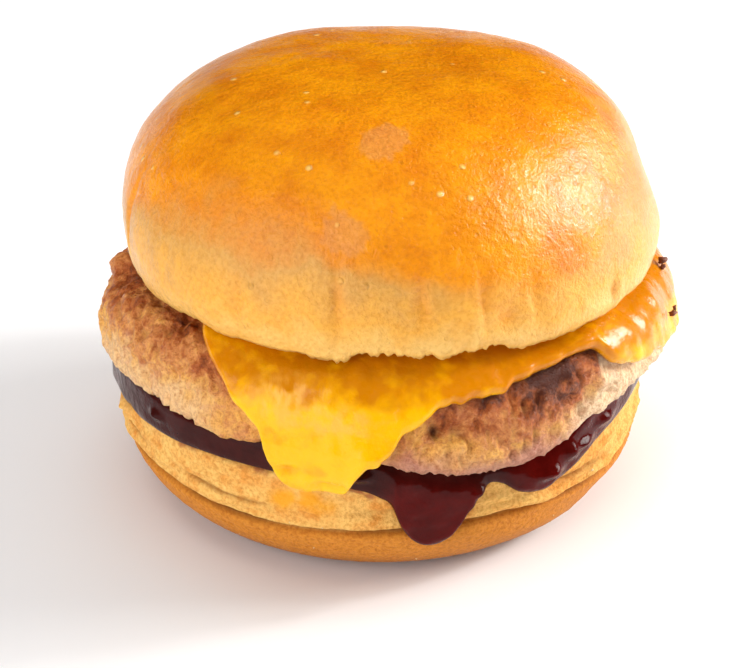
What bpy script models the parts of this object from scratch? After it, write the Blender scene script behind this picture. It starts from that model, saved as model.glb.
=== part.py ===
"""Cheeseburger in a seedless, egg-washed bun.

Five layers stand on the heel's flat base: heel, sauce, patty, melted cheese slice and crown.
+Z is up and -Y is the front. Every layer is a skin of rings: at each angle round the burger a
profile of radius and height runs from a pole on the axis, out, and back to a second pole.
Neighbouring layers are worked out from one another's profiles and stay CLEARANCE apart.
"""

import math

import bmesh
import bpy
import numpy as np

MM = 0.001

# Room between two layers that touch
CLEARANCE = 0.45 * MM

# Angles round the burger, in degrees from the front, growing towards +X
DETAIL_FROM = -40
DETAIL_TO = 60
DETAIL_STEP = 2.5
PLAIN_STEP = 6.5
BUN_STEP = 6

# Heel, the lower half of the bun
HEEL_SHIFT = -0.9 * MM
HEEL_HEIGHT = 24.6 * MM
HEEL_RADIUS = 52.3 * MM
HEEL_FOOT_RADIUS = 37.0 * MM
HEEL_WIDEST_HEIGHT = 16.0 * MM
HEEL_EDGE_ROUND = 2.0 * MM
HEEL_EDGE_HEIGHT = HEEL_HEIGHT - HEEL_EDGE_ROUND
CREASE_HEIGHT = 13.0 * MM
CREASE_DEPTH = 0.9 * MM
CREASE_HALF_WIDTH = 1.0 * MM

# Sauce, a puddle on the heel with a rounded hem that runs down its side
SAUCE_BAND = 0.5 * MM
SAUCE_DRIP = 2.1 * MM
SAUCE_SWELL_DROP = 4.0 * MM
SAUCE_SHOULDER = 0.6 * MM
SAUCE_ROUND_SHARE = 0.2
SAUCE_HEM_SHARE = 0.15
SAUCE_HEM_STEP = 0.1 * MM

# Patty, two quarter superellipses: a tapered upper half and a thin lower lip
PATTY_RADIUS = 55.9 * MM
PATTY_SHIFT = 0.3 * MM
PATTY_TAPER = 0.055
PATTY_TOP = 45.6 * MM
PATTY_BELLY = 28.2 * MM
PATTY_BELLY_RADIUS = 20.0 * MM
PATTY_EDGE_RADIUS = 45.0 * MM
PATTY_LIP = 3.8 * MM
PATTY_TOP_POWER = 6.0
PATTY_UNDER_POWER = 3.5

# Cheese, a slice that lies on the patty and hangs over its side
CHEESE_THICKNESS = 2.2 * MM
CHEESE_LIP = 0.5 * MM
CHEESE_LIP_WIDTH = 4.0 * MM
CHEESE_ROOM = 0.7 * MM
CHEESE_ROOM_LOSS = 0.7
CHEESE_HEM_ROUND = 1.3 * MM
CHEESE_HEM_SHARE = 0.35
CHEESE_HEM_CROWD = 0.35 * MM
CHEESE_TUCK = 60.0
CHEESE_LONGEST_FALL = 14.0 * MM

# Crown, the upper half of the bun: a dome with (r/R)^a + (h/H)^b = 1 over a drooping rim
CROWN_RADIUS = 52.6 * MM
CROWN_HEIGHT = 35.7 * MM
CROWN_RADIUS_POWER = 3.9
CROWN_HEIGHT_POWER = 1.92
CROWN_RIM_SHIFT = 0.9 * MM
CROWN_TOP_SHIFT = -0.7 * MM
CROWN_TUCK = 1.4 * MM
CROWN_TUCK_HEIGHT = 1.6 * MM
CROWN_FLOOR_SHARE = 0.86
CROWN_DROOP = 1.4 * MM
CROWN_DROOP_FRONT = 0.25
CROWN_DROOP_HEIGHT = 5.0 * MM

# How much the top of the stack rises for each step back, from the patty's middle up
LEAN = -0.04
LEAN_FROM = 30.0 * MM
LEAN_TO = 46.0 * MM

# Where the rings lie, as heights, radii, lengths along a profile, or shares of a whole
FLAT_RADII = (0, 24 * MM, 44 * MM)
HEEL_RING_HEIGHTS = tuple(h * MM for h in (0, 1.6, 4.2, 8.0, 11.3, 13.0, 14.7, 18.0, 21.6, 23.4))
HEEL_CREASE_RINGS = slice(3, 8)
SAUCE_SIDE_SHARES = (0, 0.2, 0.4, 0.6, 0.8, 0.93, 1)
SAUCE_BACK_SHARES = (0.33, 0.67)
SAUCE_TURN_DEGREES = (0, 35, 65, 90)
PATTY_RING_LENGTHS = (0, 22 * MM, 38 * MM, 46 * MM)
PATTY_SIDE_RINGS = 8
PATTY_UNDER_SHARES = (0.985, 0.95, 0.88, 0.76, 0.4, 0)
PATTY_SWELL_SHARE = 0.76
CHEESE_RING_LENGTHS = tuple(s * MM for s in (0, 22, 38, 43, 46.5, 49.5, 52, 54.5, 57, 60, 63.5))
CHEESE_HEM_SHARES = (0.75, 0.3, 0)
CROWN_RING_SHARES = (0, 0.025, 0.09, 0.2, 0.34, 0.48, 0.61, 0.73, 0.83, 0.91, 0.965, 0.995)
CURVE_POINTS = 240
FALL_POINTS = 80

# Outlines round the burger as (degrees, millimetres), chosen by eye
PATTY_EDGE_HEIGHTS = (
    (-150, 27.8), (-120, 27.0), (-85, 26.4), (-65, 29.4), (-40, 30.0), (-20, 29.8), (-4, 29.2),
    (8, 27.0), (20, 25.4), (31, 25.7), (43, 29.4), (56, 30.2), (80, 28.0), (110, 27.0),
    (145, 28.6), (180, 27.4),
)
SAUCE_HEM_HEIGHTS = (
    (-150, 20.6), (-138, 19.4), (-124, 23.5), (-102, 22.0), (-86, 20.4), (-72, 21.8),
    (-58, 22.9), (-48, 23.8), (-36, 25.0), (-14, 25.0), (-5, 23.8), (0, 22.2), (2.5, 20.0),
    (4, 16.4), (6, 13.4), (10, 11.4), (14, 13.2), (18, 18.6), (22, 22.8), (25, 22.2),
    (29, 19.2), (34, 18.4), (43, 20.4), (50, 22.6), (58, 24.0), (96, 23.8), (112, 20.0),
    (122, 18.8), (134, 23.2), (180, 23.8),
)
CHEESE_REACHES = (
    (-150, 45.0), (-130, 47.0), (-108, 52.5), (-90, 48.5), (-62, 43.0), (-48, 45.0),
    (-39, 50.8), (-33, 53.8), (-29, 57.0), (-25, 59.0), (-22.5, 62.8), (-20, 65.4),
    (-17.5, 68.6), (-13, 69.8), (-8.5, 68.8), (-5.5, 65.2), (-3, 63.4), (0.5, 62.4),
    (3, 59.6), (7.5, 56.8), (12, 55.2), (22, 53.8), (32, 52.6), (40, 52.6), (45, 53.6),
    (48, 56.0), (54, 57.6), (62, 58.8), (74, 59.2), (88, 57.6), (102, 53.0), (122, 48.0),
    (143, 52.0), (160, 58.5), (174, 57.0), (190, 50.0),
)

# Relief as (turns round the burger, waves per metre along the profile, phase, height)
CREASE_WAVES = ((2, 0, 1.0, 0.7 * MM), (5, 0, 0.2, 0.4 * MM))
HEEL_WAVES = ((3, 40, 0.3, 0.35 * MM), (5, 70, 2.0, 0.25 * MM), (9, 110, 4.1, 0.18 * MM))
PATTY_WAVES = ((3, 30, 1.1, 0.50 * MM), (7, 55, 3.0, 0.40 * MM), (13, 75, 5.2, 0.30 * MM))
CROWN_WAVES = ((2, 20, 0.8, 0.45 * MM), (3, 35, 2.6, 0.40 * MM), (5, 45, 4.4, 0.22 * MM))
RIM_WAVES = ((7, 0, 0.5, 0.35 * MM), (17, 0, 2.2, 0.30 * MM), (29, 0, 3.9, 0.20 * MM))
POLE_FADE = 30.0 * MM

# Scraps of meat fused to the patty's edge, as (degrees, radius, height, size)
SCRAPS = ((-83, 50.0 * MM, 41.6 * MM, 2.7 * MM), (101, 53.7 * MM, 35.0 * MM, 2.3 * MM))
SCRAP_SHAPE = (1.0, 1.3, 0.8)


def angles():
    """The profiles' angles in degrees: close together where the hems wander, wider elsewhere."""
    detailed = np.arange(DETAIL_FROM, DETAIL_TO, DETAIL_STEP)
    plain = np.arange(DETAIL_TO, DETAIL_FROM + 360, PLAIN_STEP)
    return np.concatenate([detailed, plain]).astype(float)


def column(values):
    """Values down a column, one for each ring, to set against angles along a row."""
    return np.array(values, float)[:, None]


def ease(t):
    """0 to 1 with a flat start and end."""
    t = np.clip(t, 0, 1)
    return t * t * (3 - 2 * t)


def outline(degrees, stations):
    """A smooth closed curve in metres: cubic pieces whose slopes come from both neighbours."""
    at, value = np.array(stations, float).T
    order = np.argsort((at + 180) % 360)
    at, value = ((at + 180) % 360)[order], value[order] * MM
    at = np.concatenate([at - 360, at, at + 360])
    value = np.tile(value, 3)
    slope = np.gradient(value, at)
    here = (degrees + 180) % 360
    left = np.searchsorted(at, here, side="right") - 1
    width = at[left + 1] - at[left]
    t = (here - at[left]) / width
    from_left = value[left] * (1 + 2 * t) + slope[left] * width * t
    from_right = value[left + 1] * (3 - 2 * t) - slope[left + 1] * width * (1 - t)
    return from_left * (1 - t) ** 2 + from_right * t**2


def relief(degrees, along, waves):
    """Gentle unevenness: a sum of sine waves that close round the burger."""
    turn = np.radians(degrees)
    return sum(
        height * np.sin(turns * turn + 2 * math.pi * per_metre * along + phase)
        for turns, per_metre, phase, height in waves
    )


def to_space(degrees, radius, height, shift=0.0):
    """Points from angle, radius and height about an axis that stands shift to the +X side."""
    turn = np.radians(degrees)
    return np.stack([shift + radius * np.sin(turn), -radius * np.cos(turn), height], axis=-1)


def leant(points):
    """The points with the upper part of the stack leaning back, so that its front is higher."""
    x, y, z = points[..., 0], points[..., 1], points[..., 2]
    return np.stack([x, y, z + LEAN * y * ease((z - LEAN_FROM) / (LEAN_TO - LEAN_FROM))], axis=-1)


def patty_radius(degrees):
    return PATTY_RADIUS - PATTY_SHIFT * np.sin(np.radians(degrees))


def patty_waist(degrees):
    """Height of the patty's widest ring."""
    return outline(degrees, PATTY_EDGE_HEIGHTS) + PATTY_LIP


def patty_underside(degrees, radius):
    """Height of the patty's underside: its belly in the middle, its uneven edge outside."""
    t = (radius - PATTY_BELLY_RADIUS) / (PATTY_EDGE_RADIUS - PATTY_BELLY_RADIUS)
    edge = outline(degrees, PATTY_EDGE_HEIGHTS)
    low = PATTY_BELLY + (edge - PATTY_BELLY) * ease(t)
    share = np.clip(1 - (radius / patty_radius(degrees)) ** PATTY_UNDER_POWER, 0, 1)
    waist = patty_waist(degrees)
    return waist - (waist - low) * share ** (1 / PATTY_UNDER_POWER)


def patty_upper_curve(degrees):
    """The upper half of the patty's profile, from the axis to the waist."""
    t = np.linspace(0, math.pi / 2, CURVE_POINTS)[:, None]
    waist = patty_waist(degrees)
    up = np.cos(t) ** (2 / PATTY_TOP_POWER)
    out = np.sin(t) ** (2 / PATTY_TOP_POWER) * (1 - PATTY_TAPER * up)
    return patty_radius(degrees) * out, waist + (PATTY_TOP - waist) * up


def drape_curve(degrees):
    """The upper half of the patty, and from its waist on a fall that tucks in a little."""
    r, z = patty_upper_curve(degrees)
    fall = np.linspace(0, CHEESE_LONGEST_FALL, FALL_POINTS)[1:, None]
    return np.vstack([r, r[-1] - CHEESE_TUCK * fall**2]), np.vstack([z, z[-1] - fall])


def travelled(radius, height):
    """Length from the first point of each profile to each of its points."""
    steps = np.hypot(np.diff(radius, axis=0), np.diff(height, axis=0))
    return np.vstack([np.zeros(radius.shape[1]), np.cumsum(steps, axis=0)])


def patty_relief(degrees, length):
    """Relief of the patty and of the cheese on it: none at the pole, all of it at the side."""
    return relief(degrees, length, PATTY_WAVES) * np.clip(length / POLE_FADE, 0, 1) ** 2


def draped(degrees, length, lift):
    """Points that lie lift above the patty, at the given lengths from the middle of its top."""
    curve_r, curve_z = drape_curve(degrees)
    along_r, along_z = np.gradient(curve_r, axis=0), np.gradient(curve_z, axis=0)
    size = np.hypot(along_r, along_z)
    so_far = travelled(curve_r, curve_z)
    off = patty_relief(degrees, length) + lift
    r, z = np.empty_like(length), np.empty_like(length)
    for c in range(len(degrees)):
        at, reached = length[:, c], so_far[:, c]
        normal_r = np.interp(at, reached, (-along_z / size)[:, c])
        normal_z = np.interp(at, reached, (along_r / size)[:, c])
        r[:, c] = np.interp(at, reached, curve_r[:, c]) + off[:, c] * normal_r
        z[:, c] = np.interp(at, reached, curve_z[:, c]) + off[:, c] * normal_z
    return r, z


def heel_radius(height):
    """The heel's side without its crease: a quarter ellipse, an upright wall, a rounded edge."""
    low = np.clip(1 - height / HEEL_WIDEST_HEIGHT, 0, 1)
    side = HEEL_FOOT_RADIUS + (HEEL_RADIUS - HEEL_FOOT_RADIUS) * np.sqrt(1 - low**2)
    over = np.clip(height - HEEL_EDGE_HEIGHT, 0, HEEL_EDGE_ROUND)
    return side - HEEL_EDGE_ROUND + np.sqrt(HEEL_EDGE_ROUND**2 - over**2)


def heel_rings(degrees):
    """The flat foot, the side with its crease, and the flat cut face."""
    wander = relief(degrees, 0, CREASE_WAVES)
    z = column(HEEL_RING_HEIGHTS) + 0 * degrees
    z[HEEL_CREASE_RINGS] += wander
    from_crease = (z - CREASE_HEIGHT - wander) / CREASE_HALF_WIDTH
    bumps = relief(degrees, z, HEEL_WAVES) * np.sin(math.pi * z / HEEL_HEIGHT)
    r = heel_radius(z) - CREASE_DEPTH * np.exp(-(from_crease**2)) + np.minimum(bumps, 0)
    top_r = column(FLAT_RADII[::-1]) + 0 * degrees
    foot = 0 * degrees[None]
    r = np.vstack([foot, r, top_r])
    z = np.vstack([foot, z, np.full_like(top_r, HEEL_HEIGHT)])
    return to_space(degrees, r, z, HEEL_SHIFT)


def under_patty(degrees, radius):
    """Height CLEARANCE below the patty, from angle and radius about the heel's axis."""
    points = to_space(degrees, radius, 0 * radius, HEEL_SHIFT)
    x, y = points[..., 0], points[..., 1]
    return patty_underside(np.degrees(np.arctan2(x, -y)), np.hypot(x, y)) - CLEARANCE


def sauce_rings(degrees):
    """The face under the patty, the side down to the hem, and back up the heel over its edge."""
    hem = outline(degrees, SAUCE_HEM_HEIGHTS)
    swell = np.clip((HEEL_EDGE_HEIGHT - hem) / SAUCE_SWELL_DROP, 0, 1)
    thickness = SAUCE_BAND + (SAUCE_DRIP - SAUCE_BAND) * swell
    flat_r = column(FLAT_RADII) + 0 * degrees
    top_r = np.vstack([flat_r, 0 * hem + HEEL_RADIUS - HEEL_EDGE_ROUND])
    edge_r = HEEL_RADIUS + CLEARANCE + thickness - SAUCE_SHOULDER
    edge_z = under_patty(degrees, edge_r)
    share = column(SAUCE_SIDE_SHARES)
    side_z = edge_z + (hem - edge_z) * share
    past = np.clip((share - 1 + SAUCE_ROUND_SHARE) / SAUCE_ROUND_SHARE, 0, 1)
    closing = np.clip(np.sqrt(1 - past**2), SAUCE_HEM_SHARE, 1)
    side_r = heel_radius(np.minimum(side_z, HEEL_EDGE_HEIGHT)) + CLEARANCE + thickness * closing
    side_r[0] = edge_r
    back = column(SAUCE_BACK_SHARES)
    back_z = hem + np.maximum(HEEL_EDGE_HEIGHT - hem, SAUCE_HEM_STEP) * back
    back_r = heel_radius(np.minimum(back_z, HEEL_EDGE_HEIGHT)) + CLEARANCE
    turn = np.radians(column(SAUCE_TURN_DEGREES))
    arc = HEEL_EDGE_ROUND + CLEARANCE
    over_r = HEEL_RADIUS - HEEL_EDGE_ROUND + arc * np.cos(turn) + 0 * hem
    over_z = np.maximum(HEEL_EDGE_HEIGHT + arc * np.sin(turn), hem + SAUCE_HEM_STEP * (1 + turn))
    r = np.vstack([top_r, side_r, back_r, over_r, flat_r[::-1]])
    floor_z = np.full_like(flat_r, HEEL_HEIGHT + CLEARANCE)
    z = np.vstack([under_patty(degrees, top_r), side_z, back_z, over_z, floor_z])
    return to_space(degrees, r, z, HEEL_SHIFT)


def patty_rings(degrees):
    """The top and side down to the waist, then in under the lip to the belly."""
    whole = travelled(*patty_upper_curve(degrees))[-1]
    over = column(PATTY_RING_LENGTHS) + 0 * degrees
    share = column(np.arange(1, PATTY_SIDE_RINGS + 1) / PATTY_SIDE_RINGS)
    length = np.vstack([over, over[-1] + (whole - over[-1]) * share])
    r, z = draped(degrees, length, 0 * length)
    under_share = column(PATTY_UNDER_SHARES)
    under_r = patty_radius(degrees) * under_share
    swell = np.clip((under_share - PATTY_SWELL_SHARE) / (1 - PATTY_SWELL_SHARE), 0, 1)
    r = np.vstack([r, under_r + patty_relief(degrees, whole) * swell])
    return leant(to_space(degrees, r, np.vstack([z, patty_underside(degrees, under_r)])))


def cheese_rings(degrees):
    """The slice's upper face to its rounded hem, then back under it. Short ones crowd there."""
    reach = outline(degrees, CHEESE_REACHES)
    over = column(CHEESE_RING_LENGTHS)
    spare = CHEESE_HEM_ROUND + CHEESE_HEM_CROWD * column(np.arange(len(over), 0, -1))
    near_hem = reach - CHEESE_HEM_ROUND * column(CHEESE_HEM_SHARES)
    outside = np.vstack([np.minimum(over, reach - spare), near_hem])
    outside[0] = 0
    inside = outside[-2::-1]
    to_hem = reach - outside
    lip = CHEESE_LIP * np.exp(-((to_hem / CHEESE_LIP_WIDTH) ** 2))
    closing = np.sqrt(1 - np.clip(1 - to_hem / CHEESE_HEM_ROUND, 0, 1) ** 2)
    share = CHEESE_HEM_SHARE + (1 - CHEESE_HEM_SHARE) * closing
    outer_r, outer_z = draped(degrees, outside, CLEARANCE + (CHEESE_THICKNESS + lip) * share)
    outer_z = np.minimum(outer_z, PATTY_TOP + CLEARANCE + CHEESE_THICKNESS)
    at_hem = np.exp(-(((reach - inside) / CHEESE_LIP_WIDTH) ** 2))
    room = CLEARANCE + CHEESE_ROOM * (1 - CHEESE_ROOM_LOSS * at_hem)
    inner_r, inner_z = draped(degrees, inside, room)
    return leant(to_space(degrees, np.vstack([outer_r, inner_r]), np.vstack([outer_z, inner_z])))


def crown_rings(degrees):
    """The flat cut face, the torn rim that droops towards the back, and the dome."""
    h = CROWN_HEIGHT * column(CROWN_RING_SHARES) + 0 * degrees
    inward = 1 - (h / CROWN_HEIGHT) ** CROWN_HEIGHT_POWER
    r = CROWN_RADIUS * inward ** (1 / CROWN_RADIUS_POWER)
    r = r - CROWN_TUCK * np.exp(-h / CROWN_TUCK_HEIGHT)
    bumps = relief(degrees, h, CROWN_WAVES) * np.clip(r / POLE_FADE, 0, 1)
    to_back = (1 - np.cos(np.radians(degrees))) / 2
    droop = CROWN_DROOP * (CROWN_DROOP_FRONT + (1 - CROWN_DROOP_FRONT) * to_back)
    rim = (relief(degrees, 0, RIM_WAVES) - droop) * np.exp(-h / CROWN_DROOP_HEIGHT)
    pole = 0 * degrees[None]
    r = np.vstack([pole, pole + CROWN_FLOOR_SHARE * CROWN_RADIUS, r + bumps, pole])
    z = np.vstack([pole, pole, h + rim, pole + CROWN_HEIGHT])
    shift = CROWN_RIM_SHIFT + (CROWN_TOP_SHIFT - CROWN_RIM_SHIFT) * z / CROWN_HEIGHT
    floor = PATTY_TOP + 2 * CLEARANCE + CHEESE_THICKNESS
    return leant(to_space(degrees, r, z + floor, shift))


def material(name, colour, roughness):
    made = bpy.data.materials.new(name)
    made.use_nodes = True
    shader = made.node_tree.nodes["Principled BSDF"]
    shader.inputs["Base Color"].default_value = (*colour, 1)
    shader.inputs["Roughness"].default_value = roughness
    shader.inputs["Metallic"].default_value = 0
    return made


def layer(name, rings, finish):
    """One closed skin over the rings, whose first and last are poles. Quads split the short way."""
    bm = bmesh.new()
    first = bm.verts.new(rings[0].mean(axis=0))
    last = bm.verts.new(rings[-1].mean(axis=0))
    loops = [[bm.verts.new(point) for point in ring] for ring in rings[1:-1]]
    count = len(loops[0])
    for i in range(count):
        j = (i + 1) % count
        bm.faces.new((first, loops[0][i], loops[0][j]))
        bm.faces.new((last, loops[-1][j], loops[-1][i]))
        for near, far in zip(loops, loops[1:]):
            if (near[i].co - far[j].co).length < (near[j].co - far[i].co).length:
                bm.faces.new((near[i], far[i], far[j]))
                bm.faces.new((near[i], far[j], near[j]))
            else:
                bm.faces.new((near[i], far[i], near[j]))
                bm.faces.new((far[i], far[j], near[j]))
    bmesh.ops.recalc_face_normals(bm, faces=bm.faces[:])
    mesh = bpy.data.meshes.new(name)
    bm.to_mesh(mesh)
    bm.free()
    mesh.shade_smooth()
    mesh.materials.append(finish)
    made = bpy.data.objects.new(name, mesh)
    bpy.context.scene.collection.objects.link(made)
    return made


def fuse_scraps(patty):
    """Joins small rounded scraps of meat to the patty's edge with one Boolean union."""
    loose = bpy.data.collections.new("scraps")
    bpy.context.scene.collection.children.link(loose)
    for degrees, radius, height, size in SCRAPS:
        bm = bmesh.new()
        bmesh.ops.create_icosphere(bm, subdivisions=2, radius=size)
        mesh = bpy.data.meshes.new("scrap")
        bm.to_mesh(mesh)
        bm.free()
        scrap = bpy.data.objects.new("scrap", mesh)
        scrap.location = to_space(degrees, radius, height)
        scrap.scale = SCRAP_SHAPE
        loose.objects.link(scrap)
    union = patty.modifiers.new("Fuse scraps", "BOOLEAN")
    union.operation = "UNION"
    union.operand_type = "COLLECTION"
    union.collection = loose
    bpy.context.view_layer.update()
    with bpy.context.temp_override(object=patty, active_object=patty):
        bpy.ops.object.modifier_apply(modifier=union.name)
    for scrap in list(loose.objects):
        bpy.data.objects.remove(scrap)
    bpy.data.collections.remove(loose)
    patty.data.shade_smooth()


def main():
    for old in list(bpy.data.objects):
        bpy.data.objects.remove(old)
    flowing = angles()
    even = np.arange(0.0, 360.0, BUN_STEP)
    soft_bread = material("soft bread", (0.82, 0.50, 0.20), 0.70)
    dark_sauce = material("dark sauce", (0.16, 0.01, 0.01), 0.15)
    griddled_meat = material("griddled meat", (0.42, 0.20, 0.09), 0.50)
    melted_cheese = material("melted cheese", (0.95, 0.48, 0.01), 0.30)
    baked_crust = material("baked crust", (0.72, 0.32, 0.06), 0.45)
    layer("bottom_bun", heel_rings(even), soft_bread)
    layer("sauce", sauce_rings(flowing), dark_sauce)
    fuse_scraps(layer("patty", patty_rings(flowing), griddled_meat))
    layer("cheese", cheese_rings(flowing), melted_cheese)
    layer("top_bun", crown_rings(even), baked_crust)


main()
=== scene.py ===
"""Cheeseburger in a seedless, egg-washed bun, dressed over its five plain layers.

Each layer is worked out again as a fine grid of rings: at each angle round the burger a profile
of radius and height runs from a pole on top, out, and back to a pole below. +Z is up and -Y is
the front. Angles are in degrees from the front and grow towards +X. Sizes are in metres.
"""

import math

import bmesh
import bpy
import numpy as np
from bpy.props import FloatProperty, FloatVectorProperty, IntProperty, PointerProperty
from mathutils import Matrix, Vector


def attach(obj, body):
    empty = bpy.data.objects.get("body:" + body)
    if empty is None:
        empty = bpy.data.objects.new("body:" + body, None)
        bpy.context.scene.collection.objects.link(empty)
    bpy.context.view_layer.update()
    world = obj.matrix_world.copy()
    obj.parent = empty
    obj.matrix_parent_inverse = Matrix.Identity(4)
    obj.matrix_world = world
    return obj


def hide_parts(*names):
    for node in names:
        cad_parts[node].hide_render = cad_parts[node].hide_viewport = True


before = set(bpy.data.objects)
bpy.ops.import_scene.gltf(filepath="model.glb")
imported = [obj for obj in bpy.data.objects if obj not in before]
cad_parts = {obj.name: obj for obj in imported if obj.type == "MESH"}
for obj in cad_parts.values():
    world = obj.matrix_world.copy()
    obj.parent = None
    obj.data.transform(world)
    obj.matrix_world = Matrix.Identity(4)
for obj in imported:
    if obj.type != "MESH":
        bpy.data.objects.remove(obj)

bl_info = {
    "name": "Cheeseburger",
    "version": (1, 0, 0),
    "blender": (4, 5, 0),
    "location": "3D View > Sidebar > Burger",
    "description": "A cheeseburger with a brushed bun, a griddled patty, melted cheese and sauce",
    "category": "Add Mesh",
}

# A Mix node's sockets for colours and its settings for a plain or a multiplied layer
SHARE, UNDER, OVER, MIXED = 0, 6, 7, 2
LAYER = {"data_type": "RGBA"}
TINT = {"data_type": "RGBA", "blend_type": "MULTIPLY"}

MM = 0.001
SIDE_RADIUS = 52   # millimetres: turns an angle into a width on the burger's side
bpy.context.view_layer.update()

# Outlines round the burger as (degrees, millimetres)
PATTY_EDGE_HEIGHTS = (
    (-150, 27.8), (-120, 27.0), (-85, 26.4), (-65, 29.4), (-40, 30.0), (-20, 29.8), (-4, 29.2),
    (8, 27.0), (20, 25.4), (31, 25.7), (43, 29.4), (56, 30.2), (80, 28.0), (110, 27.0),
    (145, 28.6), (180, 27.4),
)
SAUCE_HEM_HEIGHTS = (
    (-150, 20.6), (-138, 19.4), (-124, 23.5), (-102, 22.0), (-86, 20.4), (-72, 21.8),
    (-58, 22.9), (-48, 23.8), (-36, 25.0), (-14, 25.0), (-5, 23.8), (0, 22.2), (2.5, 20.0),
    (4, 16.4), (6, 13.4), (10, 11.4), (14, 13.2), (18, 18.6), (22, 22.8), (25, 22.2),
    (29, 19.2), (34, 18.4), (43, 20.4), (50, 22.6), (58, 24.0), (96, 23.8), (112, 20.0),
    (122, 18.8), (134, 23.2), (180, 23.8),
)
CHEESE_REACHES = (
    (-150, 45.0), (-130, 47.0), (-108, 52.5), (-90, 48.5), (-62, 43.0), (-48, 45.0),
    (-39, 50.8), (-33, 53.8), (-29, 57.0), (-25, 59.0), (-22.4, 61.6), (-20.8, 64.6),
    (-19.2, 67.2), (-16.5, 69.2), (-13, 69.6), (-8.6, 69.6), (-6.6, 68.6), (-5.2, 65.8),
    (-3.2, 63.5), (-0.8, 63.7), (1.2, 62.2), (3, 59.6), (7.5, 56.8), (12, 55.2), (22, 53.8),
    (32, 52.6), (40, 52.6), (45, 53.6), (48, 56.0), (54, 57.6), (62, 59.2), (74, 61.4),
    (84, 61.0), (94, 57.0), (104, 53.0), (122, 48.0), (143, 52.0), (160, 58.5), (174, 57.0),
    (190, 50.0),
)
WASH_LINE_HEIGHTS = (
    (-150, 16.0), (-110, 14.0), (-80, 15.5), (-62, 17.5), (-50, 22.5), (-38, 25.5), (-24, 24.0),
    (-12, 19.5), (0, 15.5), (12, 12.0), (26, 10.0), (48, 12.5), (62, 17.5), (76, 21.0),
    (100, 17.0), (140, 13.0), (180, 17.5),
)

# Relief as (turns round the burger, waves per metre along the profile, phase, millimetres)
CREASE_WAVES = ((2, 0, 1.0, 0.7), (5, 0, 0.2, 0.4))
HEEL_WAVES = ((3, 40, 0.3, 0.35), (5, 70, 2.0, 0.25), (9, 110, 4.1, 0.18))
PATTY_WAVES = ((3, 30, 1.1, 0.50), (7, 55, 3.0, 0.40), (13, 75, 5.2, 0.30))
CROWN_WAVES = ((2, 20, 0.8, 0.45), (3, 35, 2.6, 0.40), (5, 45, 4.4, 0.22))
RIM_WAVES = ((7, 0, 0.5, 0.35), (17, 0, 2.2, 0.30), (29, 0, 3.9, 0.20))

# Marks on a layer's side as (degrees, height or length, half width, half height, strength),
# the three in the middle in millimetres. Relief has its millimetres as its strength.
CROWN_DENTS = (
    (-9.7, 10.5, 1.2, 5.5, 0.55), (6.7, 10.0, 1.6, 3.6, 0.60), (23.5, 6.0, 2.4, 2.2, 0.75),
    (19.0, 9.0, 1.0, 5.0, 0.35), (30.0, 8.0, 1.4, 4.5, 0.40), (-70.0, 10.0, 0.9, 7.0, 1.20),
    (-31.0, 8.0, 1.3, 4.5, 0.30), (52.0, 4.0, 1.2, 2.4, 0.70), (-95.0, 9.0, 1.4, 5.0, 0.60),
    (128.0, 8.0, 1.6, 4.5, 0.60), (170.0, 9.0, 1.3, 5.0, 0.55), (-140.0, 7.0, 2.0, 3.5, 0.60),
)

SAUCE_BEADS = (
    (35.0, 22.6, 2.6, 1.0, 1.15), (40.8, 24.7, 1.5, 1.4, 1.15), (45.0, 25.0, 2.4, 0.9, 1.15),
    (52.5, 26.8, 2.6, 1.2, 1.15), (20.0, 22.4, 1.6, 1.0, 1.15), (-4.0, 26.8, 2.2, 1.0, 1.15),
    (-52.0, 27.4, 2.0, 1.0, 1.15),
)
BUTTER_DROPS = ((-20, 19.0, 2.2, 1.8, 1), (-12, 19.3, 2.2, 1.8, 1), (-16, 20.5, 2.2, 1.8, 1))
CHEESE_FOLDS = ((-17.5, 65.4, 3.0, 0.7, 1), (-9.5, 67.2, 2.4, 0.6, 0.8), (-24, 60.5, 2.0, 0.6, 0.6))
# Where a painted reflection of the bright surroundings lies on the slice
CHEESE_CLOUDS = ((-18.5, 55.5, 5.0, 3.0, 1), (-8, 57.5, 7.0, 2.0, 0.8))

# Single marks, without a strength
HEEL_TEAR = (-71, 19.5, 5.0, 2.6)
PATTY_PIT = (9.2, 36.3, 0.9, 1.0)
PATTY_KNOB = (46.5, 38.6, 2.4, 2.2)
PATTY_SCRAP = (101, 35.0, 2.4, 2.0)
CHEESE_PUCKER = (-18.5, 55.0, 4.5, 3.0)
CHEESE_CREASE = (44.5, 55.0, 0.9, 3.0)

# Places in space as (degrees, radius, height, half width), all but the first in millimetres.
# A swell has its own height after them, and the dull patches are spots that the brush missed.
PATTY_NUB = (-90, 52.0, 42.0, 2.3)
CROWN_SWELLS = ((126, 37, 80, 15, 1.3), (84, 50, 70, 14, 0.6))
MINCE_SCRAPS = (
    (73.9, 57.5, 40.0, 0.8), (74.9, 57.6, 40.7, 0.5), (86.8, 54.4, 44.9, 1.0), (85.6, 54.6, 44.0, 0.6),
)
DULL_PATCHES = (
    (-2.5, 32.4, 82.3, 3.6), (3.0, 30.0, 83.3, 3.4), (-8.5, 46.7, 71.8, 4.6), (128, 44.0, 74.0, 5.0),
)

# The camera that sees the burger as the photo does: metres, a lens in millimetres, degrees
CAMERA_PLACE = (0, -0.3541, 0.2260)
LENS = 96.24
CAMERA_DIP = 29.417
CAMERA_TURN = 0.295
# Directions of the lights, from the burger's middle
BURGER_MIDDLE = (0, 0, 0.045)
RIGHT_SIDE = (0.90, 0.17, 0.41)
LEFT_SIDE = (-0.75, -0.75, 0.45)
OVERHEAD = (-0.1, 0.15, 1)


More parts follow.
